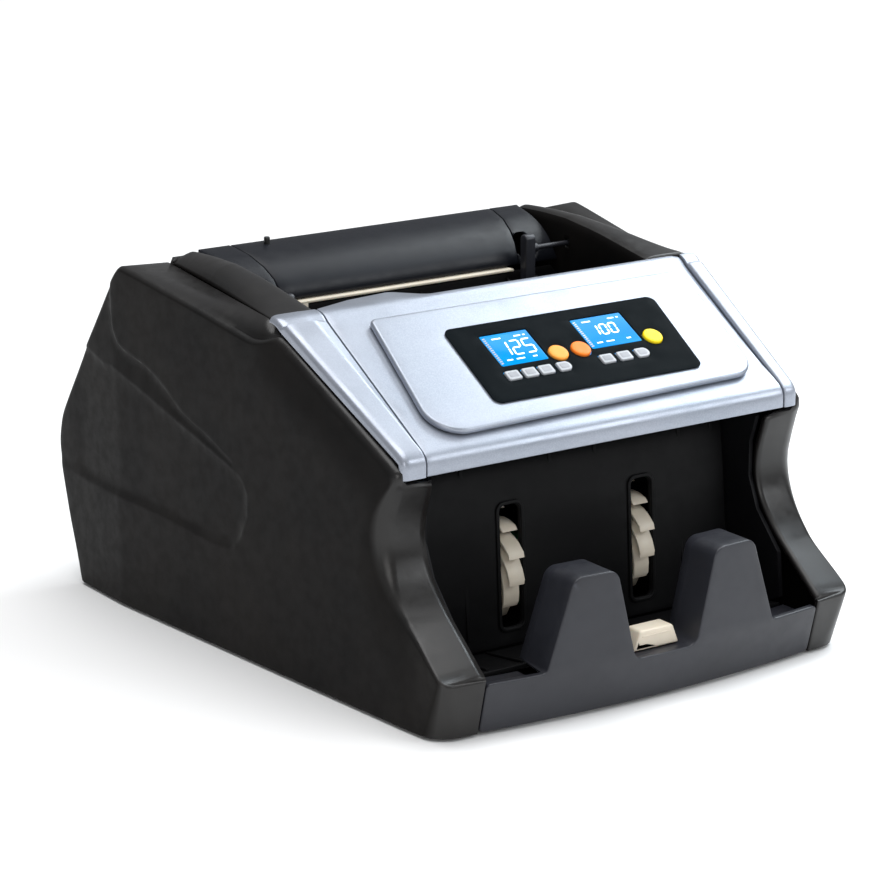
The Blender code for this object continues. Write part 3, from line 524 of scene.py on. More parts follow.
def blended(tree, factor, first, second):
    mix = add(tree, "Mix", {"data_type": "RGBA"})
    for socket, value in ((mix.inputs["Factor"], factor), (mix.inputs[6], first), (mix.inputs[7], second)):
        if isinstance(value, bpy.types.NodeSocket):
            tree.links.new(value, socket)
        else:
            socket.default_value = value if isinstance(value, float) else (*value, 1.0)
    return mix.outputs[2]


def bumped(tree, shader, height, depth, strength=1.0, after=None):
    """Bump of a real depth in millimetres, on top of an earlier bump."""
    bump = add(tree, "Bump", Height=height, Strength=strength, Distance=depth * MM)
    if after:
        tree.links.new(after.outputs["Normal"], bump.inputs["Normal"])
    tree.links.new(bump.outputs["Normal"], shader.inputs["Normal"])
    return bump


def scaled(colour, factor):
    return tuple(min(1.0, channel * factor) for channel in colour)


def moulded(name, colour, roughness, grain=0.5, depth=0.02, mottling=0.15, tint=None, wear_and_rim_highlight=0.0, **sockets):
    """Textured moulded plastic: fine grain, broad mottling of colour and gloss, and lighter edges, partly wear and
    partly a painted highlight along the rims.
    """
    material, tree, shader = new_material(name, colour, roughness, **sockets)
    broad = speckle(tree, 45, 4.0, 0.62)
    middle = speckle(tree, 6, 3.0, 0.6)
    mixed = blended(tree, ranged(tree, broad, 0.0, 1.0), scaled(colour, 1 - mottling),
                    scaled(tint or colour, 1 + mottling))
    # Sharp edges get a lighter colour: partly wear, partly a painted highlight standing in for the glossy rim
    # highlight.
    if wear_and_rim_highlight:
        sharpness = add(tree, "NewGeometry").outputs["Pointiness"]
        worn_and_highlit = ranged(tree, sharpness, 0.0, wear_and_rim_highlight, 0.52, 0.60)
        mixed = blended(tree, worn_and_highlit, mixed, scaled(colour, 4.0))
    tree.links.new(mixed, shader.inputs["Base Color"])
    tree.links.new(ranged(tree, middle, roughness - 0.05, roughness + 0.06), shader.inputs["Roughness"])
    fine = bumped(tree, shader, speckle(tree, grain, 2.0), depth, 0.6)
    bumped(tree, shader, broad, 0.10, 0.10, fine)
    return material


def matt_sides(material, specular, roughness):
    """Faces that look sideways are matt and the others satin: pairs for the sides and for the rest."""
    tree = material.node_tree
    shader = tree.nodes["Principled BSDF"]
    normal = add(tree, "SeparateXYZ", Vector=add(tree, "TexCoord").outputs["Normal"])
    sideways = add(tree, "Math", {"operation": "ABSOLUTE"}, n0=normal.outputs["X"]).outputs[0]
    tree.links.new(ranged(tree, sideways, specular[1], specular[0], 0.75, 0.96), shader.inputs["Specular IOR Level"])
    grain = shader.inputs["Roughness"].links[0].from_socket
    level = add(tree, "Math", n0=ranged(tree, sideways, roughness[1], roughness[0], 0.75, 0.96), n1=grain)
    tree.links.new(level.outputs[0], shader.inputs["Roughness"])
    return material


def painted_silver():
    """Fine metallic paint on plastic, with flake sparkle and faint handling marks."""
    material, tree, shader = new_material("silver_paint", (0.28, 0.31, 0.37), 0.36, Metallic=0.6,
                                          Coat_Weight=0.10, Coat_Roughness=0.25)
    flake = add(tree, "TexVoronoi", Vector=add(tree, "TexCoord").outputs["Object"], Scale=2600.0)
    broad = speckle(tree, 60, 3.0)
    base = blended(tree, ranged(tree, broad, 0.0, 1.0), (0.27, 0.30, 0.355), (0.31, 0.335, 0.39))
    glint = ranged(tree, flake.outputs["Color"], 0.0, 0.35, 0.2, 1.0)
    tree.links.new(blended(tree, glint, base, (0.45, 0.48, 0.55)), shader.inputs["Base Color"])
    tree.links.new(ranged(tree, speckle(tree, 14, 4.0), 0.31, 0.42), shader.inputs["Roughness"])
    grain = bumped(tree, shader, speckle(tree, 0.45, 2.0), 0.008, 0.5)
    bumped(tree, shader, speckle(tree, 30, 2.0), 0.06, 0.08, grain)
    return material


def label_film():
    material, tree, shader = new_material("label_film", (0.0045, 0.0065, 0.0080), 0.50,
                                          Specular_IOR_Level=0.01)
    tree.links.new(ranged(tree, speckle(tree, 9, 4.0), 0.32, 0.46), shader.inputs["Roughness"])
    smudge = ranged(tree, speckle(tree, 25, 5.0, 0.7), 0.0, 1.0)
    tree.links.new(blended(tree, smudge, (0.0038, 0.0058, 0.0072), (0.0055, 0.0078, 0.0095)),
                   shader.inputs["Base Color"])
    bumped(tree, shader, speckle(tree, 0.8, 2.0), 0.006, 0.4)
    return material


def lit_screen():
    """A backlit blue liquid crystal pane: its light varies in broad patches, over a fine dot grid."""
    material, tree, shader = new_material("lit_screen", (0.0, 0.05, 0.15), 0.2, Emission_Strength=1.0,
                                          Specular_IOR_Level=0.05)
    glow = ranged(tree, speckle(tree, 14, 2.0), 0.0, 1.0, 0.3, 0.7)
    lit = blended(tree, glow, (0.0, 0.29, 0.80), (0.0, 0.38, 0.92))
    place = add(tree, "TexCoord").outputs["Object"]
    dots = add(tree, "TexVoronoi", {"feature": "F1", "distance": "CHEBYCHEV"}, Vector=place, Scale=2200.0,
               Randomness=0.0)
    cells = ranged(tree, dots.outputs["Distance"], 0.0, 0.18, 0.35, 0.5)
    lit = blended(tree, cells, lit, (0.0, 0.16, 0.60))
    tree.links.new(lit, shader.inputs["Emission Color"])
    tree.links.new(ranged(tree, speckle(tree, 5, 2.0), 0.09, 0.16), shader.inputs["Roughness"])
    bumped(tree, shader, dots.outputs["Distance"], 0.004, 0.3)
    return material


def lit_marks():
    material, tree, shader = new_material("screen_marks", (0.85, 0.93, 1.0), 0.3, Emission_Strength=0.75)
    lit = blended(tree, ranged(tree, speckle(tree, 3, 2.0), 0.0, 1.0), (0.55, 0.85, 1.0), (0.92, 1.0, 1.0))
    tree.links.new(lit, shader.inputs["Emission Color"])
    tree.links.new(ranged(tree, speckle(tree, 1.0, 2.0), 0.25, 0.4), shader.inputs["Roughness"])
    bumped(tree, shader, speckle(tree, 0.5), 0.004, 0.3)
    return material


def rubber(name, colour, roughness, ribs=None):
    """Matt rubber; ribs is the pitch in millimetres of grooves across X."""
    material, tree, shader = new_material(name, colour, roughness, Specular_IOR_Level=0.3)
    dust = ranged(tree, speckle(tree, 8, 5.0, 0.7), 0.0, 0.6)
    tree.links.new(blended(tree, dust, scaled(colour, 0.8), scaled(colour, 1.8)), shader.inputs["Base Color"])
    tree.links.new(ranged(tree, speckle(tree, 3, 3.0), roughness - 0.08, roughness + 0.06),
                   shader.inputs["Roughness"])
    grain = bumped(tree, shader, speckle(tree, 0.6, 3.0), 0.05, 0.6)
    if ribs:
        place = add(tree, "TexCoord").outputs["Object"]
        wave = add(tree, "TexWave", {"bands_direction": "X"}, Vector=place, Scale=1000.0 / ribs / 6.283,
                   Distortion=0.0)
        bumped(tree, shader, wave.outputs["Fac"], 0.25, 0.8, grain)
    return material


def metal(name, colour, roughness, brushed=(1, 1, 1), stain=0.15):
    material, tree, shader = new_material(name, colour, roughness, Metallic=1.0)
    streaks = speckle(tree, 0.6, 3.0, 0.6, brushed)
    broad = speckle(tree, 20, 4.0)
    tree.links.new(blended(tree, ranged(tree, broad, 0.0, 1.0), scaled(colour, 1 - stain), scaled(colour, 1.1)),
                   shader.inputs["Base Color"])
    tree.links.new(ranged(tree, streaks, roughness - 0.08, roughness + 0.12), shader.inputs["Roughness"])
    bumped(tree, shader, streaks, 0.01, 0.5)
    return material


def circuit_board():
    material, tree, shader = new_material("circuit_board", (0.01, 0.10, 0.04), 0.35, Coat_Weight=0.3)
    place = add(tree, "TexCoord").outputs["Object"]
    tracks = add(tree, "TexBrick", Vector=place, Scale=220.0, Mortar_Size=0.06, Color1=(0.01, 0.09, 0.035, 1),
                 Color2=(0.012, 0.12, 0.045, 1), Mortar=(0.03, 0.22, 0.09, 1))
    tree.links.new(tracks.outputs["Color"], shader.inputs["Base Color"])
    tree.links.new(ranged(tree, speckle(tree, 4, 3.0), 0.28, 0.42), shader.inputs["Roughness"])
    bumped(tree, shader, tracks.outputs["Fac"], 0.04, 0.6)
    return material


def laminated_core():
    """A transformer's stacked plates and varnished winding."""
    material, tree, shader = new_material("laminated_core", (0.22, 0.10, 0.05), 0.45, Metallic=0.6)
    place = add(tree, "TexCoord").outputs["Object"]
    plates = add(tree, "TexWave", {"bands_direction": "Y"}, Vector=place, Scale=320.0, Distortion=0.2)
    tree.links.new(blended(tree, plates.outputs["Fac"], (0.10, 0.06, 0.045), (0.34, 0.17, 0.09)),
                   shader.inputs["Base Color"])
    tree.links.new(ranged(tree, speckle(tree, 2, 3.0), 0.38, 0.55), shader.inputs["Roughness"])
    bumped(tree, shader, plates.outputs["Fac"], 0.15, 0.7)
    return material


CHARCOAL = (0.0064, 0.0058, 0.0057)
# A lighter, bluer copy of the charcoal plastic: painted light for parts that face the front, which are moulded in the
# same plastic.
FRONT_LIT_SLATE = (0.019, 0.020, 0.026)


def make_finishes():
    """Each finish as its material and the name of its slot."""
    return {
        "charcoal": (matt_sides(moulded("charcoal_plastic", CHARCOAL, 0.43, tint=(0.0072, 0.0062, 0.0056),
                                        mottling=0.22, wear_and_rim_highlight=0.35), (0.08, 0.42), (0.05, -0.10)),
                     "charcoal_plastic"),
        "cover": (moulded("cover_plastic", (0.0060, 0.0070, 0.0105), 0.40, mottling=0.12, grain=0.4,
                          Specular_IOR_Level=0.22), "slate_plastic"),
        # A darker copy of the charcoal plastic: painted shade for the pieces deep inside the machine.
        "pocket": (moulded("pocket_plastic_painted_shade", (0.0040, 0.0040, 0.0044), 0.5, mottling=0.15,
                           Specular_IOR_Level=0.12), "charcoal_plastic"),
        # The slate finish is the charcoal plastic with painted light: lighter and bluer, as front-lit faces look.
        "slate": (moulded("slate_plastic", FRONT_LIT_SLATE, 0.40, grain=0.4, mottling=0.12, wear_and_rim_highlight=0.25, Metallic=0.15),
                  "slate_plastic"),
        "silver": (painted_silver(), "silver_plastic"),
        "label": (label_film(), "label_black"),
        "screen": (lit_screen(), "screen_blue"),
        "marks": (lit_marks(), "screen_blue"),
        "bezel": (moulded("screen_bezel", (0.45, 0.46, 0.47), 0.35, mottling=0.3), "key_grey"),
        "orange": (moulded("orange_button", (0.95, 0.36, 0.05), 0.34, mottling=0.05, Specular_IOR_Level=0.2),
                   "button_orange"),
        "deep_orange": (moulded("deep_orange_button", (0.95, 0.22, 0.02), 0.34, mottling=0.05, Specular_IOR_Level=0.2),
                        "button_deep_orange"),
        "yellow": (moulded("yellow_button", (0.95, 0.70, 0.01), 0.34, mottling=0.05, Specular_IOR_Level=0.2),
                   "button_yellow"),
        "key": (moulded("key_plastic", (0.42, 0.44, 0.47), 0.38, mottling=0.08), "key_grey"),
        "key_pad": (moulded("key_print", (0.30, 0.31, 0.34), 0.42, mottling=0.25), "key_grey"),
        "cream": (moulded("cream_plastic", (0.66, 0.58, 0.47), 0.42, mottling=0.07,
                          Subsurface_Weight=0.05), "cream_plastic"),
        "rubber": (rubber("roller_rubber", (0.020, 0.019, 0.019), 0.72, ribs=1.6), "roller_rubber"),
        "foot": (rubber("foot_rubber", (0.015, 0.015, 0.015), 0.80), "foot_rubber"),
        "belt": (rubber("belt_rubber", (0.012, 0.012, 0.013), 0.66, ribs=1.0), "belt_rubber"),
        "steel": (metal("turned_steel", (0.58, 0.58, 0.60), 0.28, (1, 8, 8)), "frame_steel"),
        # Near-black frame plates: painted shade of the pocket's inside, whose side walls they form.
        "frame": (moulded("frame_in_painted_shade", (0.005, 0.005, 0.006), 0.5, grain=0.8, depth=0.03,
                          Specular_IOR_Level=0.15), "frame_steel"),
        "board": (circuit_board(), "circuit_board"),
        "core": (laminated_core(), "transformer_core"),
        "fitting": (moulded("black_fitting", (0.010, 0.010, 0.010), 0.34, grain=0.3, depth=0.008), "black_fittings"),
    }


FINISHES = make_finishes()


# ---------------------------------------------------------------- side shells

def side_x(y):
    """Half width of the casing at this depth."""
    (x0, y0), (x1, y1) = SIDE_FRONT, SIDE_REAR
    return np.minimum(x0 + (y - y0) * (x1 - x0) / (y1 - y0), x1)


def ledge(y):
    """The crease between a side shell's top ledge and the hopper cheek."""
    return LEDGE_FRONT.lerp(LEDGE_REAR, (y - LEDGE_FRONT.y) / (LEDGE_REAR.y - LEDGE_FRONT.y))


def shell_stations():
    """Round one side shell: (y, z) on the side, (x, y, z) of the inner edge, edge radius and corner softness."""
    stations = [(outer, (REAR_SEAM, *inner), REAR_ROUND, 3.0)
                for outer, inner in reversed(list(zip(REAR_RIM, REAR_PROFILE))[1:])]
    stations[0] = (*stations[0][:3], 1.0)
    stations.append(((88, 160), (REAR_SEAM, LEDGE_REAR.y, 158), 2.5, 2.0))
    for y, z in ((74, 158.2), (27, 151.4), (-10, 145.3), (-15.5, 145.6)):
        stations.append(((y, z), (ledge(y).x, y, ledge(y).z), 2.5, 2.0))
    stations.append(((-20, 146.8), (STRIP_OUTER[1] - STRIP_REST, -19.5, 151.0), 2.5, 1.5))
    rest = -WALL - 2 * GAP
    for v in (87.0, 3.5):
        x = between(STRIP_OUTER, v / PANEL_LENGTH) - STRIP_REST
        stations.append((on_panel(0, v, rest - 0.6)[1:], on_panel(x, v, rest), 4.0, 1.2))
    lip = STRIP_OUTER[0] - STRIP_REST
    stations.append(((-104.9, 106.5), (lip, -100.0, 107.5), 4.0, 1.2))
    stations.append(((-104.6, 103.4), (lip, -100.0, LIP_BOTTOM - 1.5), 4.0, 1.0))
    for outer, inner, radius, soft in (
        ((-104, 101.5), (-103.8, LIP_BOTTOM - 2.0), 3.0, 1.5),
        ((-98.4, 86), (-98.2, 86), 6.0, 4), ((-96.6, 77), (-96.8, 76), 7.0, 4),
        ((-97.8, 69), (-98.6, 67), 6.0, 4), ((-101, 60), (-103, 59.5), 4.5, 4),
        ((-106, 52.5), (-110, 51.5), 3.2, 4), ((-114, 45), (-117.5, 45.2), 2.6, 4),
        ((-124, 37.5), (-126, 38.6), 2.2, 3), ((-133, 30.6), (-134.5, 31.8), NOSE_EDGE, 1.2),
        ((-137.5, 27.4), (-137.5, 29.4), NOSE_EDGE, 1.0), ((-141.5, 26.4), (-139.2, 28.1), NOSE_EDGE, 1.0),
        ((NOSE_END, 26.2), (-140.4, 27.1), 0.9, 0.4), ((NOSE_END, 20.0), (-136.5, 20.0), 0.9, 1.0),
        ((NOSE_END, CASE_BOTTOM), (-132.0, CASE_BOTTOM), 0.9, 0.4),
        ((-141.5, CASE_BOTTOM), (-129.0, CASE_BOTTOM), 1.6, 1.0),
        ((-128, CASE_BOTTOM), (-122, CASE_BOTTOM), 2.0, 1.0),
    ):
        stations.append((outer, (FRONT_SEAM, *inner), radius, soft))
    for y in (0.0, SIDE_REAR[1]):
        inner = between((FRONT_SEAM, REAR_SEAM), (y + 135) / 264)
        stations.append(((y, CASE_BOTTOM), (inner, y, CASE_BOTTOM), 2.0, 1.0))
    return stations


def on_side(yz):
    """The (x, y) place and outward direction of points on a side face; ahead of NOSE_START it turns to the front."""
    y, z = yz[:, 0], yz[:, 1]
    rise = np.clip((z - CASE_BOTTOM) / (NOSE_TOP - CASE_BOTTOM), 0, 1)
    start = np.array([float(side_x(NOSE_START)), NOSE_START])
    corner, seam = (np.outer(1 - rise, NOSE_FOOT_LINE[i]) + np.outer(rise, NOSE_TOP_LINE[i]) for i in (0, 1))
    radius = between(NOSE_ROUND, rise)
    first, second = corner - start, seam - corner
    before, after = np.linalg.norm(first, axis=1), np.linalg.norm(second, axis=1)
    ahead, across = first / before[:, None], second / after[:, None]
    bend = np.arccos(np.clip((ahead * across).sum(axis=1), -1, 1))
    reach = radius * np.tan(bend / 2)
    total = before + after - 2 * reach + radius * bend
    far = np.clip((NOSE_START - y) / NOSE_WRAP, 0, 1) * total
    turn = np.clip((far - before + reach) / radius, 0, bend)
    sideways = np.stack([-ahead[:, 1], ahead[:, 0]], axis=1)
    out = sideways * np.cos(turn)[:, None] + ahead * np.sin(turn)[:, None]
    centre = corner - ahead * reach[:, None] - sideways * radius[:, None]
    place = centre + out * radius[:, None]
    place = np.where((turn <= 0)[:, None], start + ahead * far[:, None], place)
    place = np.where((turn >= bend)[:, None], seam - across * (total - far)[:, None], place)
    plain = (y >= NOSE_START)[:, None]
    return (np.where(plain, np.column_stack([side_x(y), y]), place),
            np.where(plain, [1.0, 0.0], out))


def inset(outline, radii):
    """Each (y, z) corner moved inside the outline by its own radius, along the ground at the bottom edge."""
    moved = []
    for i, point in enumerate(outline):
        here = Vector(point)
        before = (here - Vector(outline[i - 1])).normalized()
        after = (Vector(outline[(i + 1) % len(outline)]) - here).normalized()
        across = before + after
        inward = Vector((-across.y, across.x)).normalized()
        reach = min(1 / max(0.5, across.length / 2), 1.5)
        if abs(here.y - CASE_BOTTOM) < 0.01:
            inward, reach = Vector((-math.copysign(1, here.x), 0)), 1.0
        moved.append(tuple(here + inward * radii[i] * reach))
    return moved


# The pressed relief on the side, as (y, z) lines
RECESS_TOP = [(168, 131), (103.5, 112.9), (94, 112.8), (67.6, 105.2), (36.8, 95.9), (6.9, 86.9), (-2.9, 83.1)]
RECESS_END = [(-7.6, 76.8), (-7.3, 66.3), (-2, 54.5), (4.4, 48.4)]
RECESS_BOTTOM = [(18.2, 47.7), (38.6, 49.4), (59.5, 50.9), (91.7, 51.8), (122.2, 52.1), (133.5, 53.1), (168, 55)]
VALLEY = [(95, 165), (94, 138.1), (93, 130.7), (89.3, 124.5), (82.7, 122), (69.6, 119.3), (59.2, 115.3),
          (49.1, 109.1), (41.6, 103.9), (35.3, 101.5), (21.5, 97), (1.8, 88.5)]
ROLL = [(-112, 112), (-98, 97), (-88, 84), (-83.7, 72), (-83.5, 61.9), (-87.9, 48.6), (-94.4, 34.5),
        (-102.1, 17.9), (-113, 3.7), (-118, -8)]
RECESS = flowing(RECESS_TOP + RECESS_END + RECESS_BOTTOM, 2.0, 1.6)
RECESS_STEP = np.interp(np.arange(len(RECESS)), [0, len(RECESS) * 0.46, len(RECESS) * 0.56, len(RECESS)],
                        [2.4, 2.4, 4.0, 5.0])
VALLEY_LINE = flowing(VALLEY, 2.0, 2.0)
STRIP_LINE = [(-104.5, 104.0), (-102.5, 108.5), (-34.0, 145.0)]  # where the side leans in to meet a strip
ROLL_LINE = flowing(ROLL, 3.0, 4.0)


def relief(points, front_edge):
    """How far the side is pressed in at (y, z) points; front_edge is the edge that the roll ends at."""
    points = np.atleast_2d(np.array(points, float))
    top = RECESS[: int(len(RECESS) * 0.46)]
    bottom = RECESS[int(len(RECESS) * 0.56):]
    to_top, to_bottom = distance(top, points), distance(bottom, points)
    to_edge, step = distance(RECESS, points, RECESS_STEP)
    within = inside(RECESS + [(190, 55), (190, 131)], points)
    deep = 0.6 + 0.7 * to_top / (to_top + to_bottom + 1e-6)
    pressed = np.where(within, deep * eased(to_edge / step), 0.0)
    to_valley = distance(VALLEY_LINE, points)
    band = inside(VALLEY_LINE + top[::-1] + [(168, 165)], points) & ~within
    width = to_valley + to_top
    slope = 1.25 * (to_top / (width + 1e-6)) * eased(to_valley / 2.5) * np.clip(width / 7, 0, 1)
    pressed += np.where(band, slope, 0.0)
    to_roll = distance(ROLL_LINE, points)
    ahead = inside(ROLL_LINE + [(-190, -8), (-190, 112)], points)
    share = to_roll / (to_roll + distance(front_edge, points) + 1e-6)
    pressed *= 1 - 0.7 * eased((points[:, 0] - 122) / 18)
    pressed += 3.0 * eased(1 - distance(STRIP_LINE, points) / 30) ** 2
    pressed += np.where(ahead, 2.4 * share ** 1.6, 0.0) * eased((points[:, 0] + 136) / 24)
    return pressed


def offset_line(line, apart):
    """An open line moved to its left."""
    here = np.array(line, float)
    run = np.gradient(here, axis=0)
    run /= np.linalg.norm(run, axis=1, keepdims=True)
    return [tuple(p) for p in here + np.stack([-run[:, 1], run[:, 0]], axis=1) * apart]


def within_loop(line, loop, clear):
    """The stretches of a line that lie inside a loop and clear of it, as separate lines."""
    keep = inside(loop, line) & (distance(list(loop) + [loop[0]], line) > clear)
    stretches, current = [], []
    for point, good in zip(line, keep):
        if good:
            current.append(tuple(point))
        elif current:
            stretches.append(current)
            current = []
    if current:
        stretches.append(current)
    return [stretch for stretch in stretches if len(stretch) > 2]


def side_shell(name, side):
    """A side moulding: pressed side face, rounded edges all round, and the land at its inner seam."""
    stations = shell_stations()
    outline = [yz for yz, _, _, _ in stations]
    radii = [radius for _, _, radius, _ in stations]
    soft = [value for _, _, _, value in stations]
    turns = [math.pi / 2 * step / 7 for step in range(8)]
    rings = []
    for turn in turns:
        ring = inset(outline, [radius * (1 - math.sin(turn)) for radius in radii])
        rings.append([(0.0, *point) for point in ring])
    rings.append([(radius, 0, 0) for radius in radii])
    rings.append([inner for _, inner, _, _ in stations])
    fine = refined(rings, 1.6, soft, closed=True)
    radius, inner = fine[-2][:, 0], fine[-1]
    edge = fine[7][:, 1:]
    front = [tuple(p) for p in edge if p[0] < -93 and 3 < p[1] < 101]

    def pressed_in(yz, rounding=0.0):
        place, out = on_side(yz)
        return np.column_stack([place - out * (rounding + relief(yz, front))[:, None], yz[:, 1]])
    rows = [pressed_in(ring[:, 1:], radius * (1 - math.cos(turn))) for turn, ring in zip(turns, fine[:8])]
    land = rows[-1] * 0.8 + inner * 0.2
    pocket = (np.abs(inner[:, 0] - FRONT_SEAM) < 0.5) & (inner[:, 2] > NOSE_TOP)
    step = np.minimum(SEAM_LAND, 0.4 * (rows[-1][:, 0] - FRONT_SEAM))
    land[pocket] = np.column_stack([inner[:, 0] + step, inner[:, 1:]])[pocket]
    rows += [land, inner]
    loop = [tuple(p) for p in fine[0][:, 1:]]
    creases = []
    for y in np.arange(NOSE_END + 10, NOSE_START - 16, 1.7):
        creases += within_loop([(y, z) for z in np.arange(3, 36, 2.4)], loop, 1.0)
    for line, shifts in ((RECESS, (1.0, 0.0, -0.8, -1.6, -2.6, -4.2)), (VALLEY_LINE, (0.8, 0.0, -1.2, -2.6)),
                         (ROLL_LINE, (0.0,))):
        for shift in shifts:
            moved = line if shift == 0.0 else flowing(offset_line(line, shift), 2.0, 1.5)
            creases += within_loop(moved, loop, 1.2)
    centre, faces = filled([loop], 2.7, creases)
    count = len(loop)
    points = [tuple(p) for p in pressed_in(np.array(centre))]
    starts = [0]
    for row in rows[1:]:
        starts.append(len(points))
        points += [tuple(p) for p in row]
    for outer, nearer in zip(starts, starts[1:]):
        faces += [(outer + i, nearer + i, nearer + (i + 1) % count, outer + (i + 1) % count)
                  for i in range(count)]
    points = [(side * x, y, z) for x, y, z in points]
    shell = mesh_from(name, points, faces, 38, outward=(side, 0, 0))
    return walled(show(name + "_casing", shell, "charcoal", name), WALL - 0.2, even=False)


def casing():
    side_shell("left_side_shell", -1)
    side_shell("right_side_shell", 1)


# ---------------------------------------------------------------- rear

def rear_cover():
    """The back, bent from the top behind the hopper to the base, with vents, screws and mains openings."""
    half = REAR_SEAM - GAP
    bend = Bend([(85.5, 160.9), *REAR_PROFILE], 1.0, 3.5)
    holes = []
    low, high = bend.along(131, 98), bend.along(118, 118)
    low, high = min(low, high), max(low, high)
    for x in range(-36, 37, 8):
        holes.append(rectangle((x - 1.6, low - 8), (x + 1.6, high + 4), 1.5, 5))
    (inlet_low, inlet_high), (frame_low, frame_high) = box("mains_inlet"), box("switch_frame")
    for lo, hi in ((inlet_low, inlet_high), (frame_low, frame_high)):
        middle = bend.along(140, (lo.z + hi.z) / 2)
        reach = (hi.z - lo.z) / 2 - 1.5
        holes.append(rectangle((lo.x + 1.8, middle - reach), (hi.x - 1.8, middle + reach), 0.6, 3))
    outline = rectangle((-half, 0.4), (half, bend.length - 0.4))
    flat = slab([outline, *holes], -WALL, 0.0, 0.4, bend, spacing=5.0, steps=2, name="rear_cover")
    show("rear_casing", flat, "charcoal", "rear_cover")
    screws = []
    for x in (-half + 8, half - 8):
        for y, z in ((108, 136.5), (137.5, 24)):
            along = bend.along(y, z)
            ring = [circle((x, along), 3.6, 32), circle((x, along), 1.1, 6)]
            screws.append(slab(ring, -0.4, 0.9, 0.4, bend))
            screws.append(slab([circle((x, along), 1.4, 12)], -0.4, 0.2, 0.0, bend))
    show("rear_screws", joined("rear_screws", screws), "fitting")


# ---------------------------------------------------------------- hopper

GUIDE_X, GUIDE_THICK = 63.0, 5.4
GUIDE_Y = (41.0, 46.2)
GUIDE_TOP = 158.3
GUIDE_ROD = (43.6, 151.5)
GUIDE_ROD_RADIUS = 1.2
LEFT_GUIDE_DROP = 11.0


def rod_place(side):
    """Y and Z of a guide's rod: the left guide is lower, so its rod is too."""
    return GUIDE_ROD if side > 0 else (GUIDE_ROD[0], GUIDE_ROD[1] - LEFT_GUIDE_DROP)


def rod_mesh(side, start, end, radius):
    start, end = sorted((side * start, side * end))
    line = [(start, 0.2), (start, radius - 0.3), (start + 0.3, radius), (end - 0.3, radius),
            (end, radius - 0.3), (end, 0.2)]
    return turned(line, rod_place(side), 32, "rod", 0.05)


def hopper_cheek(name, side):
    """The rounded cheek beside the trough, from the ledge over its crown and down the trough's side."""
    crown = [(-16.5, 155.3, 100), (3.7, 158.7, 100), (21.6, 161.7, 100), (46.0, 164.1, 100),
             (49.5, 164.1, 136), (64, 164.1, 136), (82, 163.2, 136), (85.2, 161.4, 136)]
    rows = []
    for y, top, foot in crown:
        crease = ledge(y)
        rise = top - crease.z
        rows.append([(x, y, z) for x, z in (
            (crease.x - 0.7, crease.z + 0.1), (crease.x - 3.4, crease.z + 0.62 * rise),
            (crease.x - 8.0, crease.z + 0.95 * rise), (91.0, top), (88.6, top - 1.2),
            (FRONT_SEAM, top - 4.0), (FRONT_SEAM, foot))])
    fine = lofted(rows, 1.5, [0.4, 1.8, 2.4, 1.6, 0.8, 0.7, 0.3], [1, 6, 6, 1.2, 1.2, 5, 1.5, 0.5])
    mesh = grid_mesh(name, fine * (side, 1, 1), outward=(0, 0, 1))
    cheek = walled(show(name + "_cover", mesh, "charcoal", name), 2.0, even=False)
    return cut(cheek, rod_mesh(side, 80.0, 96.0, GUIDE_ROD_RADIUS + 0.6))


def tapered(bend, profile, extra=0.0):
    """The (x, along) right-hand edge of a piece whose half width follows its profile."""
    edge = [(half + extra, bend.along(y, z)) for y, z, half in profile]
    edge[0], edge[-1] = (edge[0][0], 0.2), (edge[-1][0], bend.length - 0.2)
    return edge


COVER_PROFILE = [(50, 142.5, 65), (50, 147, 65), (54, 152.3, 66), (60, 157, 67.5), (69, 161, 69.5),
                 (79, 163, 71), (83.5, 163.1, 71.4)]  # Y, Z and half width of the curved cover


def hopper_back():
    """The curved cover that the notes lean on, its flush corners, and the pale plate under it."""
    bend = Bend([point[:2] for point in COVER_PROFILE], 0.8, 2.4)
    edge = tapered(bend, COVER_PROFILE)
    corners = [1.2, *[0] * 5, 0.8]
    outline = rounded(edge + [(-x, along) for x, along in reversed(edge)], corners + corners[::-1])
    cover = slab([outline], -2.4, 0.0, 0.7, bend, spacing=3.0, name="back_cover")
    show("hopper_back_curve", cover, "cover", "hopper_back_cover")
    for name, side in (("hopper_corner_left", -1), ("hopper_corner_right", 1)):
        edge = [(side * x, along) for x, along in tapered(bend, COVER_PROFILE, GAP)]
        far = side * (FRONT_SEAM - GAP)
        mesh = slab([edge + [(far, bend.length - 0.2), (far, 0.2)]], -2.2, 0.0, 0.4, bend, spacing=2.5)
        corner = show(name + "_filler", mesh, "cover", name)
        if side > 0:
            cut(corner, slab([circle((71, 150), 6.0)], 44, 66, 0, lambda x, z, y: (x, y, z), name="recess"))
    plate = joined("light_plate", [block((-60, 46.6, 140.8), (60, 62, 142.0), 0.4),
                                   block((-60, 46.6, 135.0), (-53, 48.8, 141.0), 0.3)])
    show("hopper_light_strip", plate, "cream", "hopper_light_plate")
    peg = slab([circle((-55, 78), 1.4, 24)], 160.0, 165.8, 0.4, name="peg")
    show("hopper_peg", peg, "fitting")


def ribs(places, low, high, width, place):
    """Raised strips along a bent wall, as one mesh."""
    return [slab([rectangle((x - width / 2, low), (x + width / 2, high), width * 0.45, 3)], -0.2, 0.9, 0.35,
                 place, spacing=4.0, steps=2) for x in places]


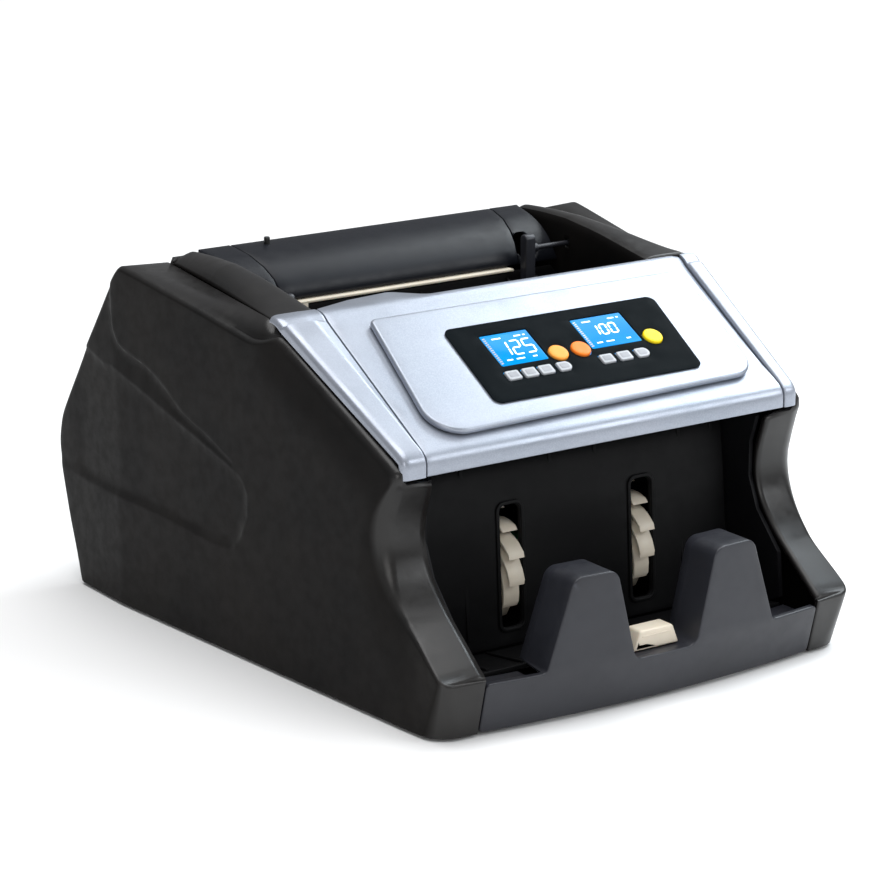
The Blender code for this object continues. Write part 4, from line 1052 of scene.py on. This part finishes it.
def trough():
    """The trough that the waiting notes drop into: back wall and floor with roller windows, and front wall."""
    bend = Bend([(49.8, 140.5), (47.6, 124), (46.6, 114.5), (43.5, 108.5), (37, 106.2), (6, 106)], 0.8, 2.0)
    outline = rectangle((-84, 0.2), (84, bend.length - 0.2), 0.5, 2)
    holes = []
    for x in (-32.5, 32.5):
        for low, high in ((bend.along(47.9, 127), bend.along(46.3, 112.5)), (bend.along(33, 106), bend.length - 3)):
            holes.append(rectangle((x - 14.5, low), (x + 14.5, high), 1.5, 4))
    mesh = slab([outline, *holes], 0.0, 2.0, 0.4, bend, spacing=3.5, steps=2)
    lines = ribs((-74, -58, -9, 9, 58, 74), 3, bend.length - 4, 1.6, lambda x, a, h: bend(x, a, -h))
    show("hopper_floor_tray", joined("floor_tray", [mesh, *lines]), "pocket", "hopper_floor")
    bend = Bend([(-16.9, 150.5), (-15, 126), (-9, 112), (-1.5, 105)], 0.8, 2.0)
    mesh = slab([rectangle((-84, 0.2), (84, bend.length - 0.2), 0.5, 2)], 0.0, 2.0, 0.5, bend, spacing=4.0)
    show("hopper_front_panel", mesh, "pocket", "hopper_front_wall")


def note_guides():
    near, far = GUIDE_Y
    for name, side, top in (("guide_right", 1, GUIDE_TOP), ("guide_left", -1, GUIDE_TOP - LEFT_GUIDE_DROP)):
        outline = rounded([(near, 118), (far, 118), (far, top), (near, top)], [0.6, 0.6, 2.4, 2.4], 8)

        def upright(y, z, out, side=side):
            return (side * (GUIDE_X + out), y, z)
        plate = slab([outline], 0.0, GUIDE_THICK, 0.7, upright, spacing=4.0)
        bolt = rod_mesh(side, GUIDE_X + 1.0, 98.0, GUIDE_ROD_RADIUS)
        collar = rod_mesh(side, GUIDE_X + GUIDE_THICK - 0.4, GUIDE_X + GUIDE_THICK + 2.2, GUIDE_ROD_RADIUS + 0.9)
        node = "hopper_guide_right" if side > 0 else "hopper_guide_left"
        show(name + "_plate", joined(name, [plate, bolt, collar]), "slate", node, name)


# ---------------------------------------------------------------- control panel

FASCIA_RISE = 3.4
FASCIA = [(-83.8, 7.0), (88.0, 10.7), (94.1, 81.0), (-73.3, 81.0)]
LABEL = ((-47.2, 18.3), (67.0, 66.3))
LABEL_LEAN = (1.6, 4.4)
LABEL_LOW, LABEL_TOP = 3.7, 4.2
BUTTON_FOOT = -3.0
BUTTON_TOP, KEY_TOP = 5.2, 4.9
ROUND_BUTTONS = {"start_button": "orange", "batch_button": "deep_orange", "reset_button": "yellow"}
KEYS = [f"key_{number}" for number in range(1, 8)]
ROUND_ENDED = ("key_4", "key_7")

PANEL_BEND = Bend([(-105.0, LIP_BOTTOM), (-105.0, 110.2), (-104.0, 111.9),
                   *(on_panel(0, v)[1:] for v in (2.5, 45.0, 87.0)),
                   (-24.8, 154.8), (-21.2, 156.0), (-8.8, 156.0)], 0.5, 0.9)
PANEL_START = PANEL_BEND.along(*on_panel(0, 45.0)[1:]) - 45.0
PANEL_REAR = PANEL_BEND.along(-21.2, 156.0)
TAB = [(-36.0, -21.2), (-47.0, -9.0), (-70.0, -12.0)]  # (x, y) of the tab that reaches over the trough
STRIP_REAR = PANEL_BEND.along(-18.3, 156.0)
SEAM_GAP = 0.7
FOLD = (1.2, 0.4, 4.6)  # drop and width of the panel's fold beside its right seam: drop, width low and high


def seam_at(seam, along):
    return between(seam, np.clip((along - PANEL_START) / PANEL_LENGTH, 0, 1))


def control_panel():
    """The folded silver panel, with its tab at the rear left and a shallow fold along its right seam."""
    drop, narrow, wide = FOLD
    top = PANEL_START + PANEL_LENGTH
    outline = [(SEAM_LEFT[0], 0.2), (SEAM_RIGHT[0], 0.2), (SEAM_RIGHT[0], PANEL_START), (SEAM_RIGHT[1], top),
               (SEAM_RIGHT[1], PANEL_REAR), *((x, PANEL_BEND.along(y, 156.0)) for x, y in TAB),
               (SEAM_LEFT[1], STRIP_REAR), (SEAM_LEFT[1], top), (SEAM_LEFT[0], PANEL_START)]
    outline = rounded(outline, [0.4, 0.4, 0, 0, 1.2, 8, 6, 12, 1.2, 0, 0], 8)
    outline = flowing(outline, 3.0, 0.05, closed=True)
    (u0, v0), (u1, v1) = LABEL
    window = rectangle((u0 + 6, PANEL_START + v0 + 6), (u1 - 10, PANEL_START + v1 - 6), 1.0)
    fold = [(seam_at(SEAM_RIGHT, along) - between((narrow, wide), (along - PANEL_START) / PANEL_LENGTH), along)
            for along in np.linspace(PANEL_START + 9, top - 1.5, 30)]

    def place(x, along, height):
        rise = np.clip((along - PANEL_START - 6) / (PANEL_LENGTH - 6), 0, 1)
        seam, width = seam_at(SEAM_RIGHT, along), between((narrow, wide), rise)
        return PANEL_BEND(x, along, height - drop * eased(rise * 6) * np.clip((x - seam + width) / width, 0, 1))
    mesh = slab([outline, window], -WALL, 0.0, 0.35, place, spacing=3.5, steps=3, lines=[fold])
    show("panel_sheet", mesh, "silver", "control_panel")


def panel_strip(name, side, seam, rises, ridges, rear):
    """A raised strip: rounded outer flank, flat face, and a slope that falls to the seam from its ridge."""
    rows = []
    places = sorted({*np.arange(0.2, rear - 0.2, 2.0), rear - 0.2, PANEL_START - 0.5, PANEL_START + 0.5,
                     PANEL_START + 86.2, PANEL_START + 86.8, PANEL_START + 87.4, PANEL_START + 88.0})
    for along in places:
        share = float(np.clip((along - PANEL_START) / PANEL_LENGTH, 0, 1))
        outer, inner = side * between(STRIP_OUTER, share), between(seam, share) + side * SEAM_GAP
        height = between(rises, share) * float(1 - 0.9 * eased((along - PANEL_START - 86.2) / 1.6))
        height *= float(0.45 + 0.55 * eased((along - PANEL_START + 1) / 7))
        width = min(between(ridges, share) * float(eased((along - PANEL_START + 2) / 10)) + 0.6, 9.0)
        section = [(outer, -WALL), (outer, height - 2.4), (outer - side * 0.5, height - 1.2),
                   (outer - side * 1.6, height - 0.3), (outer - side * 3.2, height),
                   (inner + side * width, height), (inner + side * (width * 0.82 - 0.1), height - 0.12),
                   (inner + side * 0.15, 0.05), (inner, -0.15), (inner, -WALL)]
        rows.append([PANEL_BEND(x, along, lift) for x, lift in section])
    fine = refined(rows, 0.5, [0.05, 0.5, 0.6, 0.6, 0.7, 0.35, 0.35, 0.25, 0.2, 0.05], closed=True)
    return grid_mesh(name, fine, closed=True, sharp=50)


def panel_strips():
    left = panel_strip("strip_left", -1, SEAM_LEFT, (1.3, 2.6), (0.3, 8.0), STRIP_REAR)
    show("panel_strip_left_moulding", left, "silver", "panel_strip_left")
    right = panel_strip("strip_right", 1, SEAM_RIGHT, (0.7, 1.0), (0.3, 0.6), PANEL_REAR)
    show("panel_strip_right_moulding", right, "silver", "panel_strip_right")


def on_fascia(node, margin=0.0):
    """A node's rectangle on the panel, grown by a margin: its low and high corner."""
    low, high = panel_box(node)
    return (low[0] - margin, low[1] - margin), (high[0] + margin, high[1] + margin)


def key_outline(node, margin=0.0, radius=0.8):
    (u0, v0), (u1, v1) = on_fascia(node, margin)
    end = 2.5 + margin if node in ROUND_ENDED else radius
    return rounded([(u0, v0), (u1, v0), (u1, v1), (u0, v1)], [radius, end, end, radius], 6)


def middle_of(node):
    (u0, v0), (u1, v1) = on_fascia(node)
    return ((u0 + u1) / 2, (v0 + v1) / 2), (u1 - u0) / 2


def fascia_and_label():
    (u0, v0), (u1, v1) = LABEL
    outline = rounded(FASCIA, [15, 12, 3, 3], 14)
    window = rectangle((u0 + 4, v0 + 4), (u1 - 8.4, v1 - 4), 1.0)
    plate = slab([outline, window], GAP, FASCIA_RISE, 1.3, on_panel, spacing=6.0, steps=6)
    corners = [(u0, v0), (u1 - LABEL_LEAN[1], v0), (u1, v1), (u0 + LABEL_LEAN[0], v1)]
    label = rounded(corners, 4.0, 10)
    show("fascia_frame", plate, "silver", "panel_fascia")
    holes = [rectangle(*on_fascia(node, GAP), 0.8) for node in ("count_screen", "batch_screen")]
    holes += [circle(middle_of(node)[0], middle_of(node)[1] + GAP) for node in ROUND_BUTTONS]
    holes += [key_outline(node, GAP, 1.0) for node in KEYS]
    film = slab([label, *holes], LABEL_LOW, LABEL_TOP, 0.18, on_panel, spacing=5.0)
    show("label_film_sheet", film, "label", "display_label")


SEGMENTS = {"0": "abcdef", "1": "bc", "2": "abged", "4": "fgbc", "5": "afgcd", "8": "abcdefg"}


def digit(character, corner, size, stroke=0.85, slant=0.12):
    """The lit bars of one seven-segment digit, as flat six-sided loops."""
    (u, v), (width, height) = corner, size
    half, ends = height / 2, {
        "a": ((0, height), (width, height)), "b": ((width, height), (width, height / 2)),
        "c": ((width, height / 2), (width, 0)), "d": ((0, 0), (width, 0)), "e": ((0, height / 2), (0, 0)),
        "f": ((0, height), (0, height / 2)), "g": ((0, height / 2), (width, height / 2))}
    loops = []
    for bar in SEGMENTS[character]:
        a, b = (Vector(end) for end in ends[bar])
        run = (b - a).normalized()
        a, b = a + run * stroke * 0.15, b - run * stroke * 0.15
        out = Vector((-run.y, run.x)) * stroke / 2
        bar_loop = (a, a + run * stroke / 2 + out, b - run * stroke / 2 + out, b,
                    b - run * stroke / 2 - out, a + run * stroke / 2 - out)
        loops.append([(u + p.x + slant * (p.y - half), v + p.y) for p in bar_loop])
    return loops


def screens():
    """The two lit panes, with generic digits, small legend bars and the hatched strip at their left edges."""
    for node, text, corner, size, gap in (("count_screen", "125", (5.2, 5.6), (4.3, 8.6), 6.3),
                                          ("batch_screen", "100", (6.6, 7.6), (3.2, 6.2), 4.9)):
        low, high = on_fascia(node)
        pane = slab([rectangle(low, high, 0.6)], BUTTON_FOOT, LABEL_TOP - 0.2, 0.15, on_panel)
        show(node + "_pane", pane, "screen", node)
        top = LABEL_TOP - 0.22
        loops = []
        for place, character in enumerate(text):
            loops += digit(character, (low[0] + corner[0] + place * gap, low[1] + corner[1]), size)
        right = high[0] - low[0]
        for u, v, width in ((4.4, 2.6, 3.0), (9.4, 2.6, 4.2), (right - 6.4, 2.6, 2.2), (4.8, 16.4, 4.6),
                            (right - 8.0, 16.4, 3.4), (right - 3.4, 16.4, 1.2)):
            loops.append(rectangle((low[0] + u, low[1] + v), (low[0] + u + width, low[1] + v + 0.7)))
        marks = [slab([loop], top, top + 0.07, 0, on_panel) for loop in loops]
        show(node + "_digits", joined(node + "_digits", marks), "marks")
        hatches = []
        for step in range(14):
            v = low[1] + 1.0 + step * (high[1] - low[1] - 2.2) / 14
            hatches.append([(low[0] + 0.35, v), (low[0] + 1.75, v + 0.35), (low[0] + 1.75, v + 1.0),
                            (low[0] + 0.35, v + 0.65)])
        hatch = [slab([loop], top - 0.05, top + 0.09, 0, on_panel) for loop in hatches]
        show(node + "_hatching", joined(node + "_hatching", hatch), "bezel")


def buttons():
    for node, finish in ROUND_BUTTONS.items():
        centre, radius = middle_of(node)
        cap = slab([circle(centre, radius, 64)], BUTTON_FOOT, BUTTON_TOP, 0.8, on_panel, spacing=1.5, steps=5)
        show(node + "_top", cap, finish, node, node + "_cap")
    for node in KEYS:
        key = slab([key_outline(node)], BUTTON_FOOT, KEY_TOP, 0.45, on_panel, steps=4)
        show(node + "_top", key, "key", node, node + "_cap")
        pad = slab([key_outline(node, -1.15, 0.5)], KEY_TOP - 0.05, KEY_TOP + 0.1, 0.08, on_panel)
        show(node + "_print", pad, "key_pad", (), node + "_cap")


# ---------------------------------------------------------------- note pocket

PLATE_WALL = 3.0
PLATE_EDGE = 0.8
SHELF_TOP = 19.0
WHEEL_X, WHEEL_RADIUS, WHEEL_WIDTH, FINS = 35.0, 27.0, 8.0, 14


def plate_front(x, z):
    """Y of the stacker plate's front face: bowed across, leaning out up to the rim, upright above."""
    lean = 6.2 * np.minimum(z, 24.7) / 24.7
    return STACKER_FOOT_Y - lean - BOW * (1 - (x / FRONT_SEAM) ** 2)


def mirrored(half_outline):
    return half_outline + [(-x, z) for x, z in reversed(half_outline)]


def stacker_front_plate():
    """The bowed front of the pocket: two tapering fingers with deep sides, a notch, and low gaps outside."""
    edge = FRONT_SEAM - 0.5
    half = [(edge, CASE_BOTTOM), (edge, 24.2), (60.0, 24.2), (47.2, FINGER_TOP), (25.8, FINGER_TOP),
            (19.8, 38), (16.0, 22)]
    radii = [2.4, 2.4, 2.5, 6, 6, 14, 5]
    outline = rounded(mirrored(half), radii + radii[::-1], 12)
    outline = flowing(outline, 1.6, 0.25, closed=True)
    turns = [math.pi / 2 * step / 5 for step in range(6)]
    rings = [grown_in(outline, PLATE_EDGE * (1 - math.sin(turn))) for turn in turns]
    face, faces = filled([[tuple(p) for p in rings[0]]], 3.0)
    points = [(x, plate_front(x, z), z) for x, z in face]
    rim = np.array(outline)
    deep = 3.0 + (FINGER_DEPTH - 3.0) * eased((61.0 - np.abs(rim[:, 0])) / 1.4) * eased((rim[:, 1] - 20) / 1.5)
    layers = [(ring, PLATE_EDGE * (1 - math.cos(turn))) for ring, turn in list(zip(rings, turns))[1:]]
    layers += [(rim, PLATE_EDGE + (deep - PLATE_EDGE) * share) for share in (0.25, 0.5, 0.75, 1.0)]
    starts = [0]
    for ring, back in layers:
        starts.append(len(points))
        y = plate_front(ring[:, 0], ring[:, 1]) + back
        points += [tuple(p) for p in np.column_stack([ring[:, 0], y, ring[:, 1]])]
    count = len(outline)
    for outer, nearer in zip(starts, starts[1:]):
        faces += [(outer + i, nearer + i, nearer + (i + 1) % count, outer + (i + 1) % count)
                  for i in range(count)]
    mesh = mesh_from("front_plate", points, faces, 40, outward=(0, -1, 0))
    walled(show("stacker_plate", mesh, "slate", "stacker_front_plate"), PLATE_WALL - 0.2, even=False)
    for side, name in ((-1, "left"), (1, "right")):
        xs = np.linspace(59.5, 86.5, 12) * side
        front = [(x, plate_front(x, SHELF_TOP) + PLATE_WALL - 0.4) for x in xs]
        back = [(x, plate_front(x, SHELF_TOP) + FINGER_DEPTH) for x in xs[::-1]]
        shelf = slab([front + back], SHELF_TOP - 3.0, SHELF_TOP, 0.3, spacing=5.0)
        show(f"stacker_shelf_{name}", shelf, "slate")


def stack_sensor():
    outline = rounded([(-12, 22.4), (12, 22.4), (8.6, 31), (-8.6, 31)], [0.6, 0.6, 1.8, 1.8], 6)
    body = slab([outline], 131.0, 140.0, 0.9, lambda x, z, front: (x, -front, z), spacing=2.5, steps=4)
    line = slab([rectangle((-7.6, 28.0), (7.6, 28.7), 0.3)], 139.8, 140.15, 0.1, lambda x, z, out: (x, -out, z))
    show("sensor_block", joined("sensor", [body, line]), "cream", "stack_sensor_block")


def pocket_walls():
    """The pocket's sloping floor and its back, slotted for the stacker wheels."""
    bend = Bend([(-119.4, 20.0), (-113, 18.5), (-88, 15.0)], 0.8, 1.2)
    mesh = slab([rectangle((-85, 0.2), (85, bend.length - 0.2), 0.4, 2)], -2.0, 0.0, 0.4, bend, spacing=4.0)
    lines = ribs((-70, -52, -18, 0, 18, 52, 70), 3, bend.length - 2, 1.4, bend)
    show("stacker_tray", joined("tray", [mesh, *lines]), "pocket", "stacker_floor")
    bend = Bend([(-86, 14.6), (-85, 30), (-83, 70), (-80, 92), (-74, 101)], 0.8, 2.5)
    low, high = bend.along(-85.4, 22.5), bend.along(-82.2, 76.5)
    slots = [rectangle((x - 5.4, low), (x + 5.4, high), 3.0, 6) for x in (-WHEEL_X, WHEEL_X)]
    outline = rectangle((-85, 0.2), (85, bend.length - 0.2), 0.5, 2)
    mesh = slab([outline, *slots], -2.0, 0.0, 0.4, bend, spacing=4.0)
    frames = [slab([rectangle((x - 7.2, low - 1.8), (x + 7.2, high + 1.8), 4.2, 8),
                    rectangle((x - 5.6, low - 0.2), (x + 5.6, high + 0.2), 2.9, 8)], -0.2, 0.9, 0.4, bend)
              for x in (-WHEEL_X, WHEEL_X)]
    lines = ribs((-76, -58, -12, 12, 58, 76), 6, bend.length - 8, 1.8, bend)
    show("stacker_back_wall", joined("back_wall", [mesh, *frames, *lines]), "pocket", "stacker_back_plate")


def fin_outline(hub=9.0, thick=1.5, twist=math.radians(62), steps=9):
    """The stacker wheel's outline: curved fins that trail round the hub."""
    points = []
    for fin in range(FINS):
        root = 2 * math.pi * fin / FINS
        leading, trailing = [], []
        for step in range(steps + 1):
            share = step / steps
            radius = hub + (WHEEL_RADIUS - hub) * share
            angle = root + twist * share ** 1.3
            half = thick / 2 / radius * 1.6
            leading.append((radius, angle - half))
            trailing.append((radius, angle + half))
        points += leading + trailing[::-1]
    return [(STACKER[0] + radius * math.cos(turn), STACKER[1] + radius * math.sin(turn)) for radius, turn in points]


def upright_disc(loops, start, end, edge):
    """(y, z) loops made into a disc from X start to end."""
    return slab(loops, start, end, edge, lambda y, z, x: (x, y, z), steps=2, sharp=40)


def stacker_wheels():
    for name, x in (("stacker_wheel_left", -WHEEL_X), ("stacker_wheel_right", WHEEL_X)):
        bore = circle(STACKER, 4.3, 40)
        half = WHEEL_WIDTH / 2
        fins = upright_disc([fin_outline(), bore], x - half, x + half, 0.25)
        rim = upright_disc([circle(STACKER, 10.4, 60), bore], x - half + 0.8, x + half - 0.8, 0.5)
        hub = upright_disc([circle(STACKER, 6.6, 48), bore], x - half - 0.4, x + half + 0.4, 0.4)
        show(name + "_fins", joined(name, [fins, rim, hub]), "cream", name, "stacker_body")


# ---------------------------------------------------------------- rollers and shafts

def rollers():
    """Every turned piece: steel shaft, rubber tyres with grooves, and flanged pulleys."""
    def ring(centre, start, end, radius):
        groove = min(0.5, radius * 0.05)
        line = [(start, 0.2), (start, radius - 0.6), (start + 0.6, radius)]
        for place in np.arange(start + 4, end - 3, 4.0):
            line += [(place - 0.4, radius), (place, radius - groove), (place + 0.4, radius)]
        return turned(line + [(end - 0.6, radius), (end, radius - 0.6), (end, 0.2)], centre, 96, "ring", 0.12)

    def pulley(centre, start, end, radius):
        return turned([(start, 0.2), (start, radius), (start + 0.5, radius), (start + 0.9, radius - 0.7),
                       (end - 0.9, radius - 0.7), (end - 0.5, radius), (end, radius), (end, 0.2)],
                      centre, 72, "pulley", 0.08)

    def shaft(centre, start, end, radius):
        return turned([(start, 0.2), (start, radius - 0.4), (start + 0.4, radius), (end - 0.4, radius),
                       (end, radius - 0.4), (end, 0.2)], centre, 48, "shaft", 0.08)
    tyres = ((-46, -19), (19, 46))
    for name, centre, axle, tyre, pulleys, node, body in (
        ("drum", DRUM, (-107, 99, 4), 20.0, ((-106.9, -101, 10), (-99, -92, 14), (92, 98.9, 12)),
         "feed_drum", "feed_drum_body"),
        ("pickup", PICKUP, (-107, 90, 4), 12.0, ((-106.9, -101, 10),), "pickup_roller", "pickup_body"),
        ("retard", RETARD, (-90, 90, 3), 8.8, (), "retard_roller", "body"),
        ("stacker", STACKER, (-90, 99, 4), None, ((92, 98.9, 12),), "stacker_shaft", "stacker_body"),
    ):
        show(name + "_axle", shaft(centre, *axle), "steel", node, body)
        if tyre:
            meshes = [ring(centre, start, end, tyre) for start, end in tyres]
            show(name + "_tyres", joined(name, meshes), "rubber", (), body)
        if pulleys:
            meshes = [pulley(centre, *sizes) for sizes in pulleys]
            show(name + "_pulleys", joined(name, meshes), "fitting", (), body)


# ---------------------------------------------------------------- pieces kept from the CAD model

KEPT = {
    "frame": ["frame_plate_left", "frame_plate_right"],
    "steel": ["tie_rod", "main_motor", "motor_pulley"],
    "belt": ["drive_belt", "pickup_belt", "stacker_belt"],
    "board": ["main_board", "display_board"],
    "core": ["transformer"],
    "pocket": ["note_chute", "base_tray"],
    "foot": ["foot_front_left", "foot_front_right", "foot_rear_left", "foot_rear_right"],
    "fitting": ["mains_inlet", "switch_frame", "power_rocker"],
}


def kept_nodes():
    for finish, names in KEPT.items():
        material, slot = FINISHES[finish]
        for name in names:
            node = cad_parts[name]
            node.data.materials.clear()
            node.data.materials.append(material)
            bevelled(node, 0.25, 2, 35)


# ---------------------------------------------------------------- stage, camera and light

def stage():
    """A wide pale floor."""
    mesh = bpy.data.meshes.new("studio_floor")
    half = 6.0
    mesh.from_pydata([(-half, -half, 0), (half, -half, 0), (half, half, 0), (-half, half, 0)], [], [(0, 1, 2, 3)])
    floor = bpy.data.objects.new("studio_floor", mesh)
    bpy.context.scene.collection.objects.link(floor)
    material, _, _ = new_material("studio_floor", (0.90, 0.90, 0.90), 0.9, Specular_IOR_Level=0.1)
    mesh.materials.append(material)


def area_light(name, place, aim, size, power, colour=(1, 1, 1)):
    light = bpy.data.lights.new(name, "AREA")
    light.shape = "RECTANGLE"
    light.size, light.size_y = size
    light.energy = power
    light.color = colour
    obj = bpy.data.objects.new(name, light)
    obj.location = place
    obj.rotation_euler = (Vector(aim) - Vector(place)).to_track_quat("-Z", "Y").to_euler()
    bpy.context.scene.collection.objects.link(obj)


def studio():
    world = bpy.data.worlds.new("studio")
    world.use_nodes = True
    world.node_tree.nodes["Background"].inputs["Color"].default_value = (0.95, 0.97, 1.0, 1)
    world.node_tree.nodes["Background"].inputs["Strength"].default_value = 0.32
    bpy.context.scene.world = world
    bpy.context.scene.view_settings.view_transform = "Standard"
    sky = bpy.data.lights.new("ceiling", "SUN")
    sky.energy = 2.55
    sky.angle = math.radians(55)
    bpy.context.scene.collection.objects.link(bpy.data.objects.new("ceiling", sky))
    area_light("sheen", (0.56, 0.12, 0.62), (0.03, -0.06, 0.13), (0.42, 0.42), 3.2, (0.90, 0.97, 1.0))
    area_light("key", (1.0, -1.3, 0.9), (0, 0, 0.06), (0.9, 0.7), 9, (0.95, 0.98, 1.0))
    area_light("left_fill", (-1.1, -1.6, 0.7), (0, 0, 0.08), (0.8, 0.6), 6.0, (1.0, 0.99, 0.97))
    area_light("nose_sheen", (0.52, -0.17, 0.60), (0.10, -0.12, 0.03), (0.24, 0.24), 1.0, (0.82, 0.92, 1.0))


def camera():
    """A long lens from the front left, slightly above the machine."""
    target = Vector((-0.0095, 0.0, 0.0776))
    azimuth, elevation, reach = math.radians(-34.6), math.radians(16.0), 1.418
    back = Vector((math.sin(azimuth) * math.cos(elevation), -math.cos(azimuth) * math.cos(elevation),
                   math.sin(elevation)))
    data = bpy.data.cameras.new("camera")
    data.lens = 127.4
    data.sensor_width = 36.0
    obj = bpy.data.objects.new("camera", data)
    obj.location = target + back * reach
    obj.rotation_euler = (-back).to_track_quat("-Z", "Y").to_euler()
    bpy.context.scene.collection.objects.link(obj)
    bpy.context.scene.camera = obj


# ---------------------------------------------------------------- assembly

camera()
stage()
studio()
casing()
rear_cover()
hopper_cheek("left_hopper_cheek", -1)
hopper_cheek("right_hopper_cheek", 1)
hopper_back()
trough()
note_guides()
control_panel()
panel_strips()
fascia_and_label()
screens()
buttons()
stacker_front_plate()
stack_sensor()
pocket_walls()
stacker_wheels()
rollers()
kept_nodes()
